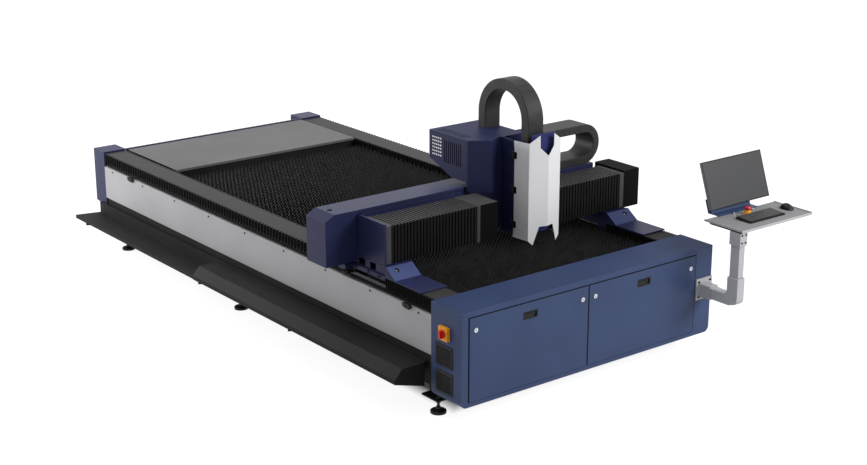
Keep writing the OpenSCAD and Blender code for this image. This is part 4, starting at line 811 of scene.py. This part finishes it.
def fleece_form(low, high, wave, steps=16):
    """A soft pad, wavy on its outer face, between two corners; it faces -X."""
    points = []
    for x, depth in ((low.x, wave), (high.x, 0.0)):
        for i in range(steps + 1):
            for k in range(steps + 1):
                y = low.y + (high.y - low.y) * i / steps
                z = low.z + (high.z - low.z) * k / steps
                points.append((x + depth * math.sin(i * 1.9) * math.sin(k * 1.7), y, z))
    wide = steps + 1
    layer = wide * wide
    faces = []
    for i in range(steps):
        for k in range(steps):
            a = i * wide + k
            face = (a, a + 1, a + wide + 1, a + wide)
            faces += [face, tuple(layer + corner for corner in face[::-1])]
    rim = [i * wide for i in range(wide)] + [steps * wide + k for k in range(1, wide)]
    rim += [i * wide + steps for i in range(steps - 1, -1, -1)] + list(range(steps - 1, 0, -1))
    faces += [(a, b, b + layer, a + layer) for a, b in zip(rim, rim[1:] + rim[:1])]
    return points, faces


PAD_FRONT = 4.2 * MM
PAD_BACK = 9 * MM
PAD_INSET = 24 * MM
PAD_W = 104 * MM
PAD_H = 138 * MM
PAD_WAVE = 0.8 * MM
low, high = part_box("housing")
pad_high = Vector((low.x + PAD_BACK, high.y - PAD_INSET, high.z - PAD_INSET))
pad_low = Vector((low.x + PAD_FRONT, pad_high.y - PAD_W, pad_high.z - PAD_H))
pad = fleece_form(pad_low, pad_high, PAD_WAVE)
piece("vent_pad_painted_glow", pad, "white_paint", "carriage", material=FLEECE_PAINTED_GLOW)


# Near-black strips round the doors: painted shade that makes the door gaps read dark

TRIM_LAP = 3 * MM
TRIM_THICK = 0.6 * MM
TRIM_OVER = 0.3 * MM


def shade_strip_form(low, high, front):
    """A near-black strip on the sides and top of a door that faces -Y, as painted shade along its gap: it
    laps over the sheet's face and edge.
    """
    section = [(-TRIM_OVER, front + MM), (-TRIM_OVER, front - TRIM_THICK), (TRIM_LAP, front - TRIM_THICK),
               (TRIM_LAP, front + 0.2 * MM)]
    foot = low.z + TRIM_LAP
    points = [(low.x + inset, y, foot) for inset, y in section]
    points += [(low.x + inset, y, high.z - inset) for inset, y in section]
    points += [(high.x - inset, y, high.z - inset) for inset, y in section]
    points += [(high.x - inset, y, foot) for inset, y in section]
    return points, skin(4, len(section))


for door in DOORS:
    low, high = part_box(door)
    shade_strip = shade_strip_form(low, high, low.y + DISH_FLANGE)
    piece(f"{door}_trim", shade_strip, "black_plastic", door, material=GAP_PAINTED_SHADE_BLACK)


# Face plates and terminals on the drive units in the cabinet, which show when the doors are open

TERMINALS = 8
TERMINAL = Vector((12, 14, 26)) * MM
TERMINAL_RISE = 14 * MM
PLATE_THICK = 3 * MM
gear_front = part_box("control_gear")[0].y
mesh = NODES["control_gear"].data
units = set()
for face in mesh.polygons:
    if face.normal.y < -FACING and face.center.y < gear_front + MM:
        corners = [mesh.vertices[k].co for k in face.vertices]
        xs, zs = [c.x for c in corners], [c.z for c in corners]
        units.add(tuple(round(v, 3) for v in (min(xs), max(xs), min(zs), max(zs))))
plates, strips = [], []
for x0, x1, z0, z1 in sorted(units):
    wide, tall = x1 - x0, z1 - z0
    plate = leaf_form(0.84 * wide, 0.42 * tall, PLATE_THICK)
    plates.append(aimed(plate, ((x0 + x1) / 2, gear_front, z1 - 0.29 * tall), FRONT))
    for k in range(TERMINALS):
        x = x0 + wide * (0.12 + 0.76 * k / (TERMINALS - 1))
        corner = Vector((x - TERMINAL.x / 2, gear_front - TERMINAL.y, z0 + TERMINAL_RISE))
        strips.append(box_form(corner, corner + TERMINAL + BACK * SUNK))
piece("drive_face_plates", together(plates), "black_plastic", "machine", material=GREY_PLATES_AND_KEY_TOP_HIGHLIGHT)
edged(piece("drive_terminals", together(strips), "black_plastic", "machine"), 1.0)


# Drip sheets below the narrow gaps between the rear deck and the rail covers

FLASHING_DROP = 14 * MM
FLASHING_W = 130 * MM
FLASHING_SHEET = 1.5 * MM
FLASHING_UPSTAND = 8 * MM
FLASHING_LIP = 10 * MM


def flashing_form(x0, side, y0, y1, z):
    """A folded drip sheet along Y: it stands up at x0, lies flat to one side and turns down at its edge."""
    x1 = x0 + side * FLASHING_W
    inner, outer = x0 + side * FLASHING_SHEET, x1 - side * FLASHING_SHEET
    top, upper, lower = z + FLASHING_UPSTAND, z + FLASHING_SHEET, z - FLASHING_LIP
    outline = [(x0, z), (x0, top), (inner, top), (inner, upper), (x1, upper), (x1, lower)]
    outline += [(outer, lower), (outer, z)]
    return [(x, y, h) for y in (y0, y1) for x, h in outline], skin(2, len(outline))


low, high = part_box("rear_deck")
ledge_low, ledge_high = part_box("slat_ledges")
sheets = [
    flashing_form(x, side, low.y + 2 * MM, high.y, RAIL_LOW.z - FLASHING_DROP)
    for x, side in ((ledge_low.x + MM, 1), (ledge_high.x - MM, -1))
]
piece("deck_drip_sheets", together(sheets), "charcoal_paint", "machine", material=SHELF_PAINT)


# Travel stops on the bed's edges

STOP_FRONT = 230 * MM
STOP_REAR = 430 * MM
STOP_OUT = 8 * MM
STOP_RISE = 10 * MM
STOP = Vector((20, 60, 24)) * MM
STOP_SHIFT = 6 * MM
STOP_STEP = 8 * MM
STOP_SCREW = (10 * MM, 4 * MM)
BUFFER_PROFILE = [(7 * MM, 0), (8 * MM, 3 * MM), (8 * MM, 9 * MM), (5 * MM, 13 * MM)]


def stop_form(x, y, z, side):
    """A travel stop: a block on a stepped foot, with a bolt and a round buffer at each end."""
    wide, front, back = STOP.x / 2, y - STOP.y / 2, y + STOP.y / 2
    under, middle, foot_x = z - STOP.z, z - STOP.z / 2, x - side * STOP_SHIFT
    return together([
        box_form((x - wide, front, under), (x + wide, back, z)),
        box_form((foot_x - wide, front + STOP_STEP, under - STOP_STEP),
                 (foot_x + wide, back - STOP_STEP, under)),
        aimed(turned(BUFFER_PROFILE), (x, back, middle), BACK),
        aimed(turned(BUFFER_PROFILE), (x, front, middle), FRONT),
        aimed(cap_screw(*STOP_SCREW), (x + side * wide, y, middle), RIGHT * side),
    ])


low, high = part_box("side_panels")
stops = [
    stop_form(x + side * STOP_OUT, y, high.z + STOP_RISE, side)
    for side, x in ((-1, low.x), (1, high.x)) for y in (low.y + STOP_FRONT, high.y - STOP_REAR)
]
edged(piece("travel_stops", together(stops), "black_plastic", "machine"), 1.5)


# Stage, light and camera

FLOOR_HALF = 60.0
FLOOR_WHITE = 0.6
FLOOR_GLOW = 1.52
BED_SHADE_EDGE = 0.12
AMBIENT = 0.38
WHITE = (1, 1, 1, 1)


def white_to(tree):
    """1 for the rays that should meet a white studio: from the camera, off a gloss and through glass."""
    seen = add(tree, "LightPath").outputs
    rays = seen["Is Camera Ray"]
    for other in (seen["Is Transmission Ray"], seen["Is Glossy Ray"]):
        rays = add(tree, "Math", {0: rays, 1: other}, operation="MAXIMUM").outputs[0]
    return rays


def stage_material():
    """Pale floor: white to the camera with a soft shadow of the machine, and dark below the open bed."""
    material, tree, place = blank_material("pale_studio_floor")
    low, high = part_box("slat_ledges")
    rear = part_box("rear_posts")[1].y
    sides = add(tree, "SeparateXYZ", {"Vector": place})
    beyond = []
    for axis, start, end in (("X", low.x, high.x), ("Y", low.y, rear)):
        off = add(tree, "Math", {0: sides.outputs[axis], 1: (start + end) / 2}, operation="SUBTRACT")
        far = add(tree, "Math", {0: off.outputs[0]}, operation="ABSOLUTE")
        half = (end - start) / 2
        fade = {"Value": far.outputs[0], "From Min": half, "From Max": half + BED_SHADE_EDGE}
        beyond.append(add(tree, "MapRange", fade).outputs["Result"])
    outside = add(tree, "Math", {0: beyond[0], 1: beyond[1]}, operation="MAXIMUM")
    bright = add(tree, "Math", {0: outside.outputs[0], 1: FLOOR_WHITE}, operation="MULTIPLY")
    share = add(tree, "Math", {0: white_to(tree), 1: bright.outputs[0]}, operation="MULTIPLY")
    floor = add(tree, "BsdfDiffuse", {"Color": linear("#C8C8CA")})
    glow = add(tree, "Emission", {"Color": WHITE, "Strength": FLOOR_GLOW})
    mixed = add(tree, "MixShader", {0: share.outputs[0], 1: floor.outputs[0], 2: glow.outputs[0]})
    add(tree, "OutputMaterial", {"Surface": mixed.outputs[0]})
    return material


corners = [(x * FLOOR_HALF, y * FLOOR_HALF, 0) for x, y in ((-1, -1), (1, -1), (1, 1), (-1, 1))]
mesh = bpy.data.meshes.new("studio_floor")
mesh.from_pydata(corners, [], [(0, 1, 2, 3)])
mesh.materials.append(stage_material())
floor = bpy.data.objects.new("studio_floor", mesh)
bpy.context.scene.collection.objects.link(floor)

world = bpy.data.worlds.new("white_studio")
bpy.context.scene.world = world
world.use_nodes = True
tree = world.node_tree
tree.nodes.clear()
soft = add(tree, "Background", {"Color": WHITE, "Strength": AMBIENT})
white = add(tree, "Background", {"Color": WHITE, "Strength": 1.0})
sky = add(tree, "MixShader", {0: white_to(tree), 1: soft.outputs[0], 2: white.outputs[0]})
add(tree, "OutputWorld", {"Surface": sky.outputs[0]})


def softbox(name, place, target, size, watts):
    """A square area lamp that looks at a point."""
    lamp = bpy.data.lights.new(name, "AREA")
    lamp.shape = "SQUARE"
    lamp.size = size
    lamp.energy = watts
    made = bpy.data.objects.new(name, lamp)
    made.location = place
    made.rotation_mode = "QUATERNION"
    made.rotation_quaternion = (Vector(target) - Vector(place)).to_track_quat("-Z", "Y")
    bpy.context.scene.collection.objects.link(made)


MIDDLE = (0.0, -0.6, 0.6)
REAR_LEFT = (-1.1, 2.4, 0.4)
softbox("key_softbox", (4.5, -8.5, 5.5), MIDDLE, 4.0, 660)
softbox("top_softbox", (-1.0, 1.0, 8.0), MIDDLE, 5.0, 220)
softbox("rear_left_softbox", (-4.0, 5.5, 2.2), REAR_LEFT, 2.4, 280)
softbox("rim_softbox", (6.5, 8.5, 4.6), MIDDLE, 5.0, 22)

# The camera was fitted to the photograph's straight edges
CAMERA_PLACE = Vector((-6.28175, -8.433, 3.748))
CAMERA_AZIMUTH = math.radians(-37.82)
CAMERA_TILT = math.radians(17.65)
CAMERA_LENS = 66.04
CAMERA_SENSOR = 36.0
CAMERA_REACH = 200.0
level = Vector((math.sin(CAMERA_AZIMUTH), -math.cos(CAMERA_AZIMUTH), 0))
backwards = level * math.cos(CAMERA_TILT) + UP * math.sin(CAMERA_TILT)
lens = bpy.data.cameras.new("photo_camera")
lens.sensor_width = CAMERA_SENSOR
lens.lens = CAMERA_LENS
lens.clip_end = CAMERA_REACH
camera = bpy.data.objects.new("photo_camera", lens)
camera.location = CAMERA_PLACE
camera.rotation_mode = "QUATERNION"
camera.rotation_quaternion = (-backwards).to_track_quat("-Z", "Y")
bpy.context.scene.collection.objects.link(camera)
bpy.context.scene.camera = camera
bpy.context.scene.view_settings.view_transform = "Standard"
